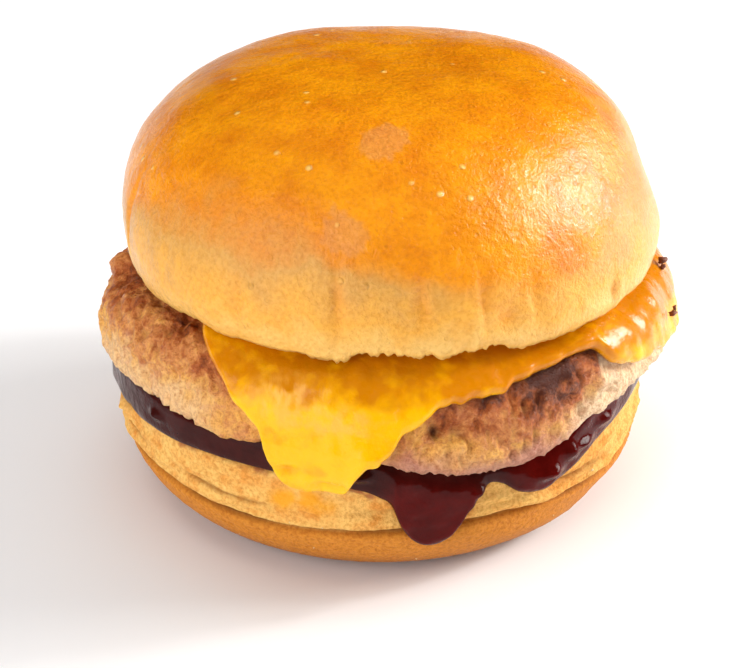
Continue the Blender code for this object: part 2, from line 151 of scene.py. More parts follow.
def linear(code):
    """An sRGB hex colour as linear red, green and blue: the sRGB curve undone, part by part."""
    parts = [int(code[i : i + 2], 16) / 255 for i in (1, 3, 5)]
    return tuple(p / 12.92 if p <= 0.04045 else ((p + 0.055) / 1.055) ** 2.4 for p in parts)


def size(name, description, millimetres):
    return FloatProperty(
        name=name, description=description, default=millimetres * MM, unit="LENGTH", precision=5
    )


def share(name, description, value):
    return FloatProperty(name=name, description=description, default=value, precision=3)


def power(name, description, watts):
    return FloatProperty(name=name, description=description, default=watts, unit="POWER")


def colour(name, description, code):
    return FloatVectorProperty(
        name=name, description=description, default=linear(code), subtype="COLOR", size=3
    )


class BURGER_PG_stack(bpy.types.PropertyGroup):
    """Sizes that all layers share."""

    clearance: size("Clearance", "Room between two layers that touch", 0.45)
    lean: share("Lean", "Rise of the upper stack for each step towards +Y", -0.04)
    lean_from: size("Lean from", "Height where the lean begins", 30)
    lean_to: size("Lean to", "Height from which the lean is whole", 46)
    pole_fade: size("Pole fade", "Distance from the axis over which relief grows in", 30)


class BURGER_PG_heel(bpy.types.PropertyGroup):
    """Sizes and colours of the lower half of the bun."""

    shift: size("Shift", "How far its axis stands from the middle", -0.9)
    height: size("Height", "Height of the cut face", 24.6)
    radius: size("Radius", "Half its width at the widest", 52.3)
    foot: size("Foot", "Radius of the flat underside", 37)
    widest: size("Widest height", "Height where the side turns upright", 16)
    edge: size("Edge", "Rounding of the cut face's edge", 2)
    crease: size("Crease height", "Height of the crease between crumb and crust", 13)
    crease_depth: size("Crease depth", "Depth of that crease", 1.5)
    crease_width: size("Crease width", "Half width of that crease", 0.7)
    fold_depth: size("Fold depth", "Depth of the long folds in the crumb above the crease", 0.9)
    pore: size("Pore", "Spacing of the crumb's pores", 1.4)
    crumb: colour("Crumb", "Pale steamed side above the crease", "#F0BC68")
    crumb_shade: colour("Crumb shade", "Deeper cream in the crumb's folds", "#E39A45")
    crust: colour("Crust", "Baked underside", "#D5892F")
    crust_dark: colour("Dark crust", "Browner crust near the ground", "#A9682C")
    # Painted shade: the dark line laid along the crease and the folds above it.
    crease_colour: colour("Crease", "Dark line in the crease", "#7E4512")
    stain: colour("Stain", "Sauce soaked into the crumb", "#8E3B2A")
    butter: colour("Butter", "Yellow stains of melted cheese and fat", "#F0A010")


class BURGER_PG_sauce(bpy.types.PropertyGroup):
    """Sizes and colours of the sauce."""

    band: size("Band", "Thickness at the heel's edge", 0.5)
    drip: size("Drip", "Thickness of a drip", 2.1)
    swell: size("Swell", "Drop over which a drip reaches its thickness", 4)
    shoulder: size("Shoulder", "How far the top edge stands back", 0.6)
    rounding: size("Rounding", "Length over which the hem closes", 1.9)
    body: colour("Sauce", "Thick red sauce", "#560704")
    # Painted shade: the sauce nearly black where it lies in the gap under the patty.
    deep: colour("Deep sauce", "Nearly black where it lies in the gap", "#3E1512")


class BURGER_PG_patty(bpy.types.PropertyGroup):
    """Sizes and colours of the patty."""

    radius: size("Radius", "Half its width", 55.9)
    shift: size("Shift", "How much narrower it is towards +X", 0.3)
    taper: share("Taper", "How much narrower its top is", 0.055)
    top: size("Top", "Height of its upper face", 45.6)
    belly: size("Belly", "Height of its underside in the middle", 28.2)
    belly_radius: size("Belly radius", "Radius of the level underside", 20)
    edge_radius: size("Edge radius", "Radius where the uneven edge begins", 45)
    lip: size("Lip", "Height of its widest ring above its lower edge", 3.8)
    top_power: share("Top power", "Squareness of the upper half", 6.0)
    under_power: share("Under power", "Squareness of the lower lip", 3.5)
    lump: size("Lump", "Width of the coarse lumps of mince", 5.2)
    grain: size("Grain", "Width of the fine mince", 2.6)
    lump_height: size("Lump height", "How far the coarse lumps stand out", 1.4)
    grain_height: size("Grain height", "How far the fine mince stands out", 0.8)
    seared: colour("Seared", "Dark crust of the griddled edge", "#572614")
    browned: colour("Browned", "Evenly browned meat", "#B86634")
    golden: colour("Golden", "Lightly fried meat", "#DE9858")
    pale: colour("Pale", "Steamed meat near the sauce", "#F0B45C")
    rosy: colour("Rosy", "Pink and grey of the lower lip", "#C48A7C")
    fatty: colour("Fatty", "Cream fat along the lower lip", "#F8DDB8")


class BURGER_PG_cheese(bpy.types.PropertyGroup):
    """Sizes and colours of the cheese."""

    thickness: size("Thickness", "Thickness of the slice", 2.2)
    lip: size("Lip", "Bead along the hem", 0.5)
    lip_width: size("Lip width", "Width of that bead", 4)
    room: size("Room", "Extra room between slice and patty", 0.7)
    room_loss: share("Room loss", "How much of that room closes at the hem", 0.7)
    rounding: size("Rounding", "Length over which the hem closes", 1.3)
    hem_share: share("Hem share", "Thickness left at the very hem", 0.35)
    tuck: share("Tuck", "How fast the hanging part tucks in, per metre", 60)
    longest_fall: size("Longest fall", "Longest stretch below the patty's widest ring", 14)
    yellow: colour("Yellow", "Melted slice", "#FFB800")
    # Painted shade: the orange colours the slice in the shadow of the bun's rim and in its folds, mixed
    # with random blotches.
    orange: colour("Orange", "Deeper tone where the slice is warm and thin", "#CE7C00")
    # Painted reflection: the pale colour of the clouded patches stands for the bright surroundings
    # mirrored in the wet slice.
    pale: colour("Pale", "Cloudy streaks of set fat", "#F5B347")


class BURGER_PG_crown(bpy.types.PropertyGroup):
    """Sizes and colours of the upper half of the bun."""

    radius: size("Radius", "Half its width", 52.6)
    height: size("Height", "Height of the dome", 35.7)
    radius_power: share("Radius power", "Squareness of the side", 3.9)
    height_power: share("Height power", "Squareness of the top", 1.92)
    rim_shift: size("Rim shift", "How far the rim's axis stands from the middle", 0.9)
    top_shift: size("Top shift", "How far the top's axis stands from the middle", -0.7)
    tuck: size("Tuck", "How far the rim pulls in", 1.4)
    tuck_height: size("Tuck height", "Height over which it pulls in", 1.6)
    floor_share: share("Floor share", "Radius of the level cut face", 0.86)
    droop: size("Droop", "How far the rim hangs at the back", 1.4)
    droop_front: share("Droop front", "Share of that droop at the front", 0.25)
    droop_height: size("Droop height", "Height over which the droop fades", 5)
    tooth: size("Tooth", "Width of the torn rim's teeth", 2.3)
    tooth_height: size("Tooth height", "Height of the torn rim's teeth", 1.0)
    washed: colour("Washed", "Amber crust under the egg wash", "#F89C00")
    washed_dark: colour("Dark wash", "Browner crust under the egg wash", "#E38200")
    side: colour("Side", "Dull tan crust below the wash", "#DA9F4C")
    lower: colour("Lower side", "Light crust near the rim", "#F1AC3E")
    rim: colour("Rim", "Palest crust at the rim", "#F3C268")
    dull: colour("Dull patch", "Bare spots that the brush missed", "#D98F50")
    # Painted shade: the brown laid in the floor of each burst bubble.
    pit: colour("Pit", "Brown floor of a burst bubble", "#9A5410")
    blister: colour("Blister", "Cream skin of a small raised bubble", "#FFC868")


class BURGER_PG_crumbs(bpy.types.PropertyGroup):
    """Loose crumbs of bread and meat."""

    count: IntProperty(name="Count", description="Crumbs of bread", default=26, min=4)
    smallest: size("Smallest", "Smallest half width of a crumb", 0.14)
    largest: size("Largest", "Largest half width of a crumb", 0.42)
    bread: colour("Bread", "Pale crumb", "#F8DDAA")
    meat: colour("Meat", "Fried scrap of mince", "#7A3E22")


class BURGER_PG_stage(bpy.types.PropertyGroup):
    """Floor and light."""

    floor: colour("Floor", "Pale floor", "#FBFBFC")
    sky: colour("Sky", "Light from all sides", "#FFFCFA")
    sky_strength: share("Sky strength", "Strength of that light", 0.34)
    key_power: power("Key", "Power of the main light", 8.0)
    fill_power: power("Fill", "Power of the fill light", 10.9)


def column(values):
    """Values down a column, one for each ring, to set against angles along a row."""
    return np.array(values, float)[:, None]


def ease(t):
    """0 to 1 with a flat start and end: three squares less two cubes."""
    t = np.clip(t, 0, 1)
    return t * t * (3 - 2 * t)


def angles(front_step, back_step, front_from=-85, front_to=95):
    """Degrees round the burger: close together at the front, wider apart behind."""
    front = np.arange(front_from, front_to, front_step)
    return np.concatenate([front, np.arange(front_to, front_from + 360, back_step)])


def outline(degrees, stations):
    """A smooth closed curve in metres: cubic pieces whose slopes come from both neighbours."""
    at, value = np.array(stations, float).T
    order = np.argsort((at + 180) % 360)
    at, value = ((at + 180) % 360)[order], value[order] * MM
    at = np.concatenate([at - 360, at, at + 360])
    value = np.tile(value, 3)
    slope = np.gradient(value, at)
    here = (degrees + 180) % 360
    left = np.searchsorted(at, here, side="right") - 1
    width = at[left + 1] - at[left]
    t = (here - at[left]) / width
    from_left = value[left] * (1 + 2 * t) + slope[left] * width * t
    from_right = value[left + 1] * (3 - 2 * t) - slope[left + 1] * width * (1 - t)
    return from_left * (1 - t) ** 2 + from_right * t**2


def relief(degrees, along, waves):
    """Gentle unevenness: a sum of sine waves that close round the burger."""
    turn = np.radians(degrees)
    return sum(
        height * MM * np.sin(turns * turn + 2 * math.pi * per_metre * along + phase)
        for turns, per_metre, phase, height in waves
    )


def hashed(cell, seed):
    """Three repeatable numbers from -1 to 1 for each lattice cell, from its mixed coordinates."""
    cell = cell.astype(np.uint32)
    mixed = cell[..., 0] * np.uint32(73856093)
    mixed = mixed ^ (cell[..., 1] * np.uint32(19349663)) ^ (cell[..., 2] * np.uint32(83492791))
    mixed = mixed + np.uint32(seed * 40503 + 977)
    for shift, factor in ((13, 1540483477), (15, 668265263), (16, 2246822519)):
        mixed = (mixed ^ (mixed >> np.uint32(shift))) * np.uint32(factor)
    mixed = mixed ^ (mixed >> np.uint32(15))
    parts = [(mixed >> np.uint32(place)) & np.uint32(1023) for place in (0, 10, 20)]
    return np.stack(parts, axis=-1) / 511.5 - 1


def noise(points, width, seed):
    """Smooth noise, about -1 to 1, in features of that width. Each lattice corner has a slope,
    and a point blends its eight corners' slopes times its steps from them, by eased shares."""
    places = points / width
    cell = np.floor(places).astype(np.int64)
    part = places - cell
    eased = part**3 * (part * (part * 6 - 15) + 10)
    total = np.zeros(places.shape[:-1])
    for corner in np.ndindex(2, 2, 2):
        near = np.array(corner)
        weight = np.where(near == 1, eased, 1 - eased).prod(axis=-1)
        total += weight * (hashed(cell + near, seed) * (part - near)).sum(axis=-1)
    return total * 1.5


def rough(points, width, seed, octaves=3):
    """Noise with finer and finer detail: each octave is half as wide and half as high."""
    return sum(noise(points, width / 2**k, seed + k) / 2**k for k in range(octaves))


def lumps(points, width, seed):
    """Round lumps from 0 to 1, one for each lattice cell: 1 less the squared distance from the
    nearest of the cells' scattered middles, in cell widths."""
    places = points / width
    cell = np.floor(places).astype(np.int64)
    nearest = np.full(places.shape[:-1], 4.0)
    for step in np.ndindex(3, 3, 3):
        near = cell + np.array(step) - 1
        middle = near + 0.5 + 0.42 * hashed(near, seed)
        nearest = np.minimum(nearest, ((places - middle) ** 2).sum(axis=-1))
    return np.clip(1 - nearest, 0, 1)


def mark(degrees, level, at_degrees, at_level, wide, tall):
    """A soft mark on a side: 1 in its middle, fading as a bell over its half width and height."""
    aside = np.radians((degrees - at_degrees + 180) % 360 - 180) * SIDE_RADIUS
    return np.exp(-((aside / wide) ** 2) - ((level / MM - at_level) / tall) ** 2)


def marks(degrees, level, places):
    """Several soft marks, each times its strength, added up."""
    return sum(strength * mark(degrees, level, *place) for *place, strength in places)


def to_space(degrees, radius, height, shift=0.0):
    """Points from angle, radius and height about an axis that stands shift to the +X side."""
    turn = np.radians(degrees)
    return np.stack(
        [shift + radius * np.sin(turn), -radius * np.cos(turn), height + 0 * turn], axis=-1
    )


def spot(points, degrees, radius, height, wide):
    """1 at the place with that angle, radius and height in millimetres, fading as a bell."""
    middle = to_space(np.float64(degrees), radius * MM, height * MM)
    return np.exp(-((points - middle) ** 2).sum(axis=-1) / (wide * MM) ** 2)


def leant(points, stack):
    """The points with the upper part of the stack leaning back, so that its front is higher."""
    x, y, z = points[..., 0], points[..., 1], points[..., 2]
    rise = stack.lean * y * ease((z - stack.lean_from) / (stack.lean_to - stack.lean_from))
    return np.stack([x, y, z + rise], axis=-1)


def swollen(points, by):
    """The grid with each point moved out by that much along the surface's normal, which is the
    cross product of the step down the profile and the step round the burger."""
    down = np.gradient(points, axis=0)
    across = np.roll(points, -1, axis=1) - np.roll(points, 1, axis=1)
    normal = np.cross(down, across)
    length = np.linalg.norm(normal, axis=-1, keepdims=True)
    return points + by[..., None] * normal / np.maximum(length, 1e-12)


def travelled(radius, height):
    """Length from the first point of each profile to each of its points."""
    steps = np.hypot(np.diff(radius, axis=0), np.diff(height, axis=0))
    return np.concatenate([np.zeros_like(steps[:1]), np.cumsum(steps, axis=0)])


def even_profile(radius, height, count):
    """One profile with its points an even length apart."""
    length = travelled(radius, height)
    even = np.linspace(0, length[-1], count)
    return np.interp(even, length, radius), np.interp(even, length, height)


def at_length(reached, values, length):
    """Each column's values at the given lengths, in a straight line between its own points."""
    row = np.clip((reached[None] <= length[:, None]).sum(axis=1) - 1, 0, len(reached) - 2)
    near = np.take_along_axis(reached, row, 0)
    far = np.take_along_axis(reached, row + 1, 0)
    t = np.clip((length - near) / np.maximum(far - near, 1e-12), 0, 1)
    return np.take_along_axis(values, row, 0) * (1 - t) + np.take_along_axis(values, row + 1, 0) * t


def skin(name, points, finish, slot, nodes, **attributes):
    """One closed mesh over a grid of rings whose first and last are poles. Each pole is the
    middle of the ring beside it. Four-sided faces join the rings and fans close the poles."""
    rings, around = points.shape[:2]
    spots = np.concatenate(
        [points[1:2].mean(axis=1), points[1:-1].reshape(-1, 3), points[-2:-1].mean(axis=1)]
    )
    grid = 1 + np.arange((rings - 2) * around).reshape(rings - 2, around)
    beside = np.roll(grid, -1, axis=1)
    quads = np.stack([grid[:-1], grid[1:], beside[1:], beside[:-1]], axis=-1).reshape(-1, 4)
    top = np.stack([np.zeros(around, int), grid[0], beside[0]], axis=-1)
    bottom = np.stack([np.full(around, len(spots) - 1), beside[-1], grid[-1]], axis=-1)
    mesh = bpy.data.meshes.new(name)
    mesh.from_pydata(spots, [], top.tolist() + quads.tolist() + bottom.tolist())
    for key, values in attributes.items():
        values = np.broadcast_to(values, (rings, around))
        flat = np.concatenate(
            [values[1:2].mean(axis=1), values[1:-1].ravel(), values[-2:-1].mean(axis=1)]
        )
        made = mesh.attributes.new(key, "FLOAT", "POINT")
        made.data.foreach_set("value", flat.astype(np.float32))
    mesh.shade_smooth()
    return piece(name, mesh, finish, nodes)


def piece(name, mesh, finish, nodes=()):
    """The mesh as an object at the origin that rides on the burger in place of the nodes."""
    mesh.materials.append(finish)
    made = bpy.data.objects.new(name, mesh)
    bpy.context.scene.collection.objects.link(made)
    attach(made, "root")
    if nodes:
        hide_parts(*nodes)
    return made


def patty_radius(degrees, patty):
    """The patty's half width: a little less towards +X, by the sine of the angle."""
    return patty.radius - patty.shift * np.sin(np.radians(degrees))


def patty_waist(degrees, patty):
    """Height of the patty's widest ring."""
    return outline(degrees, PATTY_EDGE_HEIGHTS) + patty.lip


def patty_underside(degrees, radius, patty):
    """Height of the patty's underside: its belly in the middle, its uneven edge outside, and a
    superellipse up to the widest ring."""
    t = (radius - patty.belly_radius) / (patty.edge_radius - patty.belly_radius)
    edge = outline(degrees, PATTY_EDGE_HEIGHTS)
    low = patty.belly + (edge - patty.belly) * ease(t)
    inner = np.clip(1 - (radius / patty_radius(degrees, patty)) ** patty.under_power, 0, 1)
    waist = patty_waist(degrees, patty)
    return waist - (waist - low) * inner ** (1 / patty.under_power)


def patty_upper_curve(degrees, patty):
    """The upper half of the patty's profile, a tapered superellipse from axis to waist."""
    t = column(np.linspace(0, math.pi / 2, 240))
    waist = patty_waist(degrees, patty)
    up = np.cos(t) ** (2 / patty.top_power)
    out = np.sin(t) ** (2 / patty.top_power) * (1 - patty.taper * up)
    return patty_radius(degrees, patty) * out, waist + (patty.top - waist) * up


def patty_relief(degrees, length, stack):
    """Broad relief of the patty and of the cheese on it: none at the pole, all at the side."""
    return relief(degrees, length, PATTY_WAVES) * np.clip(length / stack.pole_fade, 0, 1) ** 2


def draped(degrees, length, lift, stack, patty, cheese):
    """Points that lie lift above the patty, at the given lengths from the middle of its top.
    Past the waist the curve falls and tucks in with the square of its fall."""
    r, z = patty_upper_curve(degrees, patty)
    fall = column(np.linspace(0, cheese.longest_fall, 80)[1:])
    r = np.vstack([r, r[-1] - cheese.tuck * fall**2])
    z = np.vstack([z, z[-1] - fall])
    along_r, along_z = np.gradient(r, axis=0), np.gradient(z, axis=0)
    whole = np.hypot(along_r, along_z)
    reached = travelled(r, z)
    off = patty_relief(degrees, length, stack) + lift
    out_r = at_length(reached, -along_z / whole, length)
    out_z = at_length(reached, along_r / whole, length)
    return at_length(reached, r, length) + off * out_r, at_length(reached, z, length) + off * out_z


def heel_radius(height, heel):
    """The heel's side without its crease: a quarter ellipse, an upright wall, a rounded edge."""
    low = np.clip(1 - height / heel.widest, 0, 1)
    side = heel.foot + (heel.radius - heel.foot) * np.sqrt(1 - low**2)
    over = np.clip(height - heel.height + heel.edge, 0, heel.edge)
    return side - heel.edge + np.sqrt(heel.edge**2 - over**2)


def under_patty(degrees, radius, stack, heel, patty):
    """Height a clearance below the patty, from angle and radius about the heel's axis."""
    points = to_space(degrees, radius, 0 * radius, heel.shift)
    x, y = points[..., 0], points[..., 1]
    return patty_underside(np.degrees(np.arctan2(x, -y)), np.hypot(x, y), patty) - stack.clearance


def feed(tree, socket, value):
    """Gives a socket a value, a link from another socket or one from a node's first output."""
    if isinstance(value, bpy.types.Node):
        value = value.outputs[0]
    if isinstance(value, bpy.types.NodeSocket):
        tree.links.new(value, socket)
    elif socket.type == "RGBA":
        socket.default_value = (*value, 1)
    else:
        socket.default_value = value


def add(tree, kind, inputs=(), stops=(), **settings):
    """Adds one node. Settings go on the node, each input is fed, and a colour ramp gets its
    stops as (place, colour or grey)."""
    made = tree.nodes.new("ShaderNode" + kind)
    for key, value in settings.items():
        setattr(made, key, value)
    for key, value in dict(inputs).items():
        feed(tree, made.inputs[key], value)
    for number, (place, tone) in enumerate(stops):
        elements = made.color_ramp.elements
        stop = elements[number] if number < 2 else elements.new(place)
        stop.position = place
        stop.color = (*tone, 1) if hasattr(tone, "__len__") else (tone, tone, tone, 1)
    return made


def dress(tree, shader, **values):
    """Feeds the shader's own sockets, whose names have underscores for spaces here."""
    for key, value in values.items():
        feed(tree, shader.inputs[key.replace("_", " ")], value)


def blank(name, **values):
    """A new material: itself, its node tree, its shader with those values, and the socket of
    the burger's own coordinates."""
    made = bpy.data.materials.new(name)
    made.use_nodes = True
    tree = made.node_tree
    shader = tree.nodes["Principled BSDF"]
    dress(tree, shader, **values)
    return made, tree, shader, add(tree, "TexCoord").outputs["Object"]


def per(millimetres):
    """A texture's scale for features of that width, as its coordinates are in metres."""
    return 1 / (millimetres * MM)


def egg_washed_crust(crown):
    """Brioche crust, brushed with egg and baked: amber and glossy where the brush went, dull
    tan below it, palest at the rim, with a fine leathery skin and a few burst bubbles."""
    made, tree, shader, place = blank(
        "egg_washed_crust", IOR=1.4, Specular_IOR_Level=0.28,
        Coat_Weight=0.8, Coat_Roughness=0.2, Coat_IOR=1.4,
        Subsurface_Weight=0.08, Subsurface_Radius=(0.9, 0.45, 0.2), Subsurface_Scale=0.002,
    )
    bake, wash, dull, cut = (
        add(tree, "Attribute", attribute_name=name).outputs["Fac"]
        for name in ("bake", "wash", "dull", "cut")
    )
    broad = add(tree, "TexNoise", {"Vector": place, "Scale": per(9), "Detail": 4, "Roughness": 0.6})
    grain = add(
        tree, "TexNoise", {"Vector": place, "Scale": per(0.85), "Detail": 3, "Roughness": 0.62}
    )
    wander = add(
        tree, "MapRange",
        {"Value": broad, "From Min": 0.3, "From Max": 0.7, "To Min": -0.14, "To Max": 0.14},
    )
    uneven = add(tree, "Math", {0: bake, 1: wander}, operation="ADD")
    side = add(
        tree, "ValToRGB", {"Fac": uneven},
        stops=((0, crown.rim), (1, crown.washed_dark), (0.3, crown.lower), (0.62, crown.side)),
    )
    amber = add(
        tree, "ValToRGB", {"Fac": broad}, stops=((0.34, crown.washed_dark), (0.62, crown.washed))
    )
    speckle = add(tree, "ValToRGB", {"Fac": grain}, stops=((0.3, (0.86, 0.78, 0.62)), (0.6, 1)))
    bubble = add(tree, "TexVoronoi", {"Vector": place, "Scale": per(2.6), "Randomness": 1})
    lot = add(tree, "SeparateColor", {"Color": bubble.outputs["Color"]})
    burst = add(tree, "Math", {0: lot, 1: 0.13}, operation="LESS_THAN")
    floor = add(
        tree, "MapRange",
        {"Value": bubble, "From Min": 0.05, "From Max": 0.16, "To Min": 1, "To Max": 0},
    )
    # Painted shade: brown in the floor of each burst bubble where the wash is.
    pitted = add(tree, "Math", {0: floor, 1: burst}, operation="MULTIPLY")
    washed_pit = add(tree, "Math", {0: pitted, 1: wash}, operation="MULTIPLY")
    faint_pit = add(tree, "Math", {0: washed_pit, 1: 0.35}, operation="MULTIPLY")
    blister = add(tree, "TexVoronoi", {"Vector": place, "Scale": per(4.6), "Randomness": 1})
    lot = add(tree, "SeparateColor", {"Color": blister.outputs["Color"]})
    few = add(tree, "Math", {0: lot.outputs[1], 1: 0.3}, operation="LESS_THAN")
    bead = add(
        tree, "MapRange",
        {"Value": blister, "From Min": 0.06, "From Max": 0.16, "To Min": 1, "To Max": 0},
    )
    popped = add(tree, "Math", {0: bead, 1: few}, operation="MULTIPLY")
    washed_bead = add(tree, "Math", {0: popped, 1: wash}, operation="MULTIPLY")
    tone = side
    for amount, over, kind in (
        (wash, amber, LAYER), (dull, crown.dull, LAYER), (1, speckle, TINT),
        (faint_pit, crown.pit, LAYER), (washed_bead, crown.blister, LAYER), (cut, crown.rim, LAYER),
    ):
        tone = add(tree, "Mix", {SHARE: amount, UNDER: tone, OVER: over}, **kind).outputs[MIXED]
    gloss = add(tree, "MapRange", {"Value": wash, "To Min": 0.52, "To Max": 0.33})
    crater = add(
        tree, "ValToRGB", {"Fac": bubble},
        stops=((0, 0), (1, 0.5), (0.12, 0.1), (0.2, 1), (0.32, 0.5)),
    )
    raised = add(tree, "Mix", {SHARE: burst, UNDER: (0.5, 0.5, 0.5), OVER: crater}, **LAYER)
    leather = add(
        tree, "TexNoise",
        {"Vector": place, "Scale": per(2.4), "Detail": 4, "Roughness": 0.6, "Distortion": 0.4},
    )
    wrinkles = add(
        tree, "TexNoise",
        {"Vector": place, "Scale": per(0.62), "Detail": 3, "Roughness": 0.6, "Distortion": 0.5},
    )
    bump = add(tree, "Bump", {"Height": leather, "Distance": 0.45 * MM, "Strength": 0.9})
    beads = add(
        tree, "Bump", {"Height": popped, "Distance": 0.3 * MM, "Strength": 1, "Normal": bump}
    )
    film = add(
        tree, "Bump", {"Height": wrinkles, "Distance": 0.17 * MM, "Strength": 0.8, "Normal": beads}
    )
    bump = beads
    for height, distance in ((raised.outputs[MIXED], 0.14), (grain, 0.42)):
        bump = add(
            tree, "Bump",
            {"Height": height, "Distance": distance * MM, "Strength": 0.9, "Normal": bump},
        )
    dress(tree, shader, Base_Color=tone, Roughness=gloss, Normal=bump, Coat_Normal=film)
    return made


def steamed_bread(heel):
    """Soft bun whose side was steamed pale against its neighbours and whose underside baked
    brown: matt, porous, with long creases darkened by painted shade and soaked-in sauce along
    the cut."""
    made, tree, shader, place = blank(
        "steamed_bread", IOR=1.4, Specular_IOR_Level=0.25,
        Subsurface_Weight=0.1, Subsurface_Radius=(1.0, 0.5, 0.25), Subsurface_Scale=0.002,
    )
    crust, crease, soaked, butter = (
        add(tree, "Attribute", attribute_name=name).outputs["Fac"]
        for name in ("crust", "crease", "soaked", "butter")
    )
    cloud = add(tree, "TexNoise", {"Vector": place, "Scale": per(5), "Detail": 5, "Roughness": 0.65})
    fine = add(tree, "TexNoise", {"Vector": place, "Scale": per(0.7), "Detail": 3, "Roughness": 0.65})
    pores = add(
        tree, "TexVoronoi", {"Vector": place, "Scale": 1 / heel.pore, "Randomness": 1},
        feature="SMOOTH_F1",
    )
    crumb = add(
        tree, "ValToRGB", {"Fac": cloud}, stops=((0.36, heel.crumb_shade), (0.56, heel.crumb))
    )
    baked = add(tree, "ValToRGB", {"Fac": crust}, stops=((0.45, heel.crust), (1, heel.crust_dark)))
    over_crumb = add(tree, "MapRange", {"Value": crust, "From Min": 0.02, "From Max": 0.2})
    speckle = add(tree, "ValToRGB", {"Fac": fine}, stops=((0.3, (0.74, 0.6, 0.45)), (0.6, 1.04)))
    tone = crumb
    for amount, over, kind in (
        (over_crumb, baked, LAYER), (1, speckle, TINT), (butter, heel.butter, LAYER),
        (crease, heel.crease_colour, LAYER), (soaked, heel.stain, LAYER),
    ):
        tone = add(tree, "Mix", {SHARE: amount, UNDER: tone, OVER: over}, **kind).outputs[MIXED]
    gloss = add(tree, "MapRange", {"Value": crust, "To Min": 0.75, "To Max": 0.5})
    holes = add(tree, "Bump", {"Height": pores, "Distance": 0.3 * MM, "Strength": 0.5})
    bump = add(
        tree, "Bump", {"Height": fine, "Distance": 0.42 * MM, "Strength": 0.9, "Normal": holes}
    )
    dress(tree, shader, Base_Color=tone, Roughness=gloss, Normal=bump)
    return made


def griddled_mince(patty):
    """Coarse minced meat fried on a griddle: dark and greasy along the upper edge, golden on
    the side, pale and rosy near the sauce, glistening with fat, and darkened by painted shade
    in its pit and the gaps between strands."""
    made, tree, shader, place = blank(
        "griddled_mince", IOR=1.42, Specular_IOR_Level=0.2, Coat_Weight=0.45, Coat_Roughness=0.07,
        Subsurface_Weight=0.1, Subsurface_Radius=(1.2, 0.5, 0.3), Subsurface_Scale=0.002,
    )
    sear, rosy, fatty, hollow = (
        add(tree, "Attribute", attribute_name=name).outputs["Fac"]
        for name in ("sear", "rosy", "fatty", "hollow")
    )
    cloud = add(
        tree, "TexNoise",
        {"Vector": place, "Scale": per(5), "Detail": 5, "Roughness": 0.7, "Distortion": 0.6},
    )
    fine = add(tree, "TexNoise", {"Vector": place, "Scale": per(0.8), "Detail": 4, "Roughness": 0.72})
    wander = add(
        tree, "MapRange",
        {"Value": cloud, "From Min": 0.34, "From Max": 0.66, "To Min": -0.36, "To Max": 0.36},
    )
    uneven = add(tree, "Math", {0: sear, 1: wander}, operation="ADD")
    meat = add(
        tree, "ValToRGB", {"Fac": uneven},
        stops=((0, patty.pale), (1, patty.seared), (0.3, patty.golden), (0.62, patty.browned)),
    )
    speckle = add(
        tree, "ValToRGB", {"Fac": fine}, stops=((0.3, (0.6, 0.34, 0.2)), (0.58, (1.08, 1.06, 1.02)))
    )
    tone = meat
    # The seared colour laid in the pit and in the gaps between strands is painted shade.
    for amount, over, kind in (
        (rosy, patty.rosy, LAYER), (fatty, patty.fatty, LAYER), (0.85, speckle, TINT),
        (hollow, patty.seared, LAYER),
    ):
        tone = add(tree, "Mix", {SHARE: amount, UNDER: tone, OVER: over}, **kind).outputs[MIXED]
    gloss = add(
        tree, "MapRange",
        {"Value": fine, "From Min": 0.35, "From Max": 0.65, "To Min": 0.3, "To Max": 0.62},
    )
    bump = add(tree, "Bump", {"Height": fine, "Distance": 0.75 * MM, "Strength": 1})
    dress(tree, shader, Base_Color=tone, Roughness=gloss, Normal=bump, Coat_Normal=bump)
    return made


def melted_cheese(cheese):
    """Processed slice melted by the hot meat: saturated yellow, smooth and wet, with small
    creases. Darker orange is painted shade under the bun's rim and in the folds, with random
    blotches, and pale clouded patches are a painted reflection of the bright surroundings."""
    made, tree, shader, place = blank(
        "melted_cheese", IOR=1.42, Specular_IOR_Level=0.16, Coat_Weight=0.45, Coat_Roughness=0.07,
        Subsurface_Weight=0.15, Subsurface_Radius=(1.6, 0.8, 0.1), Subsurface_Scale=0.002,
    )
    warm, cloudy = (
        add(tree, "Attribute", attribute_name=name).outputs["Fac"] for name in ("warm", "cloudy")
    )
    drift = add(
        tree, "TexNoise",
        {"Vector": place, "Scale": per(6), "Detail": 5, "Roughness": 0.6, "Distortion": 0.6},
    )
    fine = add(tree, "TexNoise", {"Vector": place, "Scale": per(1.3), "Detail": 3, "Roughness": 0.55})
    wander = add(
        tree, "MapRange",
        {"Value": drift, "From Min": 0.35, "From Max": 0.65, "To Min": -0.25, "To Max": 0.25},
    )
    uneven = add(tree, "Math", {0: warm, 1: wander}, operation="ADD")
    # Painted shade: the ramp turns orange where the slice lies in the shadow of the bun's rim and in its
    # folds.
    melt = add(tree, "ValToRGB", {"Fac": uneven}, stops=((0.1, cheese.yellow), (0.95, cheese.orange)))
    # Painted reflection: pale patches where the slice mirrors the bright surroundings.
    tone = add(tree, "Mix", {SHARE: cloudy, UNDER: melt, OVER: cheese.pale}, **LAYER).outputs[MIXED]
    gloss = add(
        tree, "MapRange",
        {"Value": fine, "From Min": 0.35, "From Max": 0.65, "To Min": 0.2, "To Max": 0.4},
    )
    bump = add(tree, "Bump", {"Height": fine, "Distance": 0.2 * MM, "Strength": 0.7})
    dress(tree, shader, Base_Color=tone, Roughness=gloss, Normal=bump, Coat_Normal=bump)
    return made


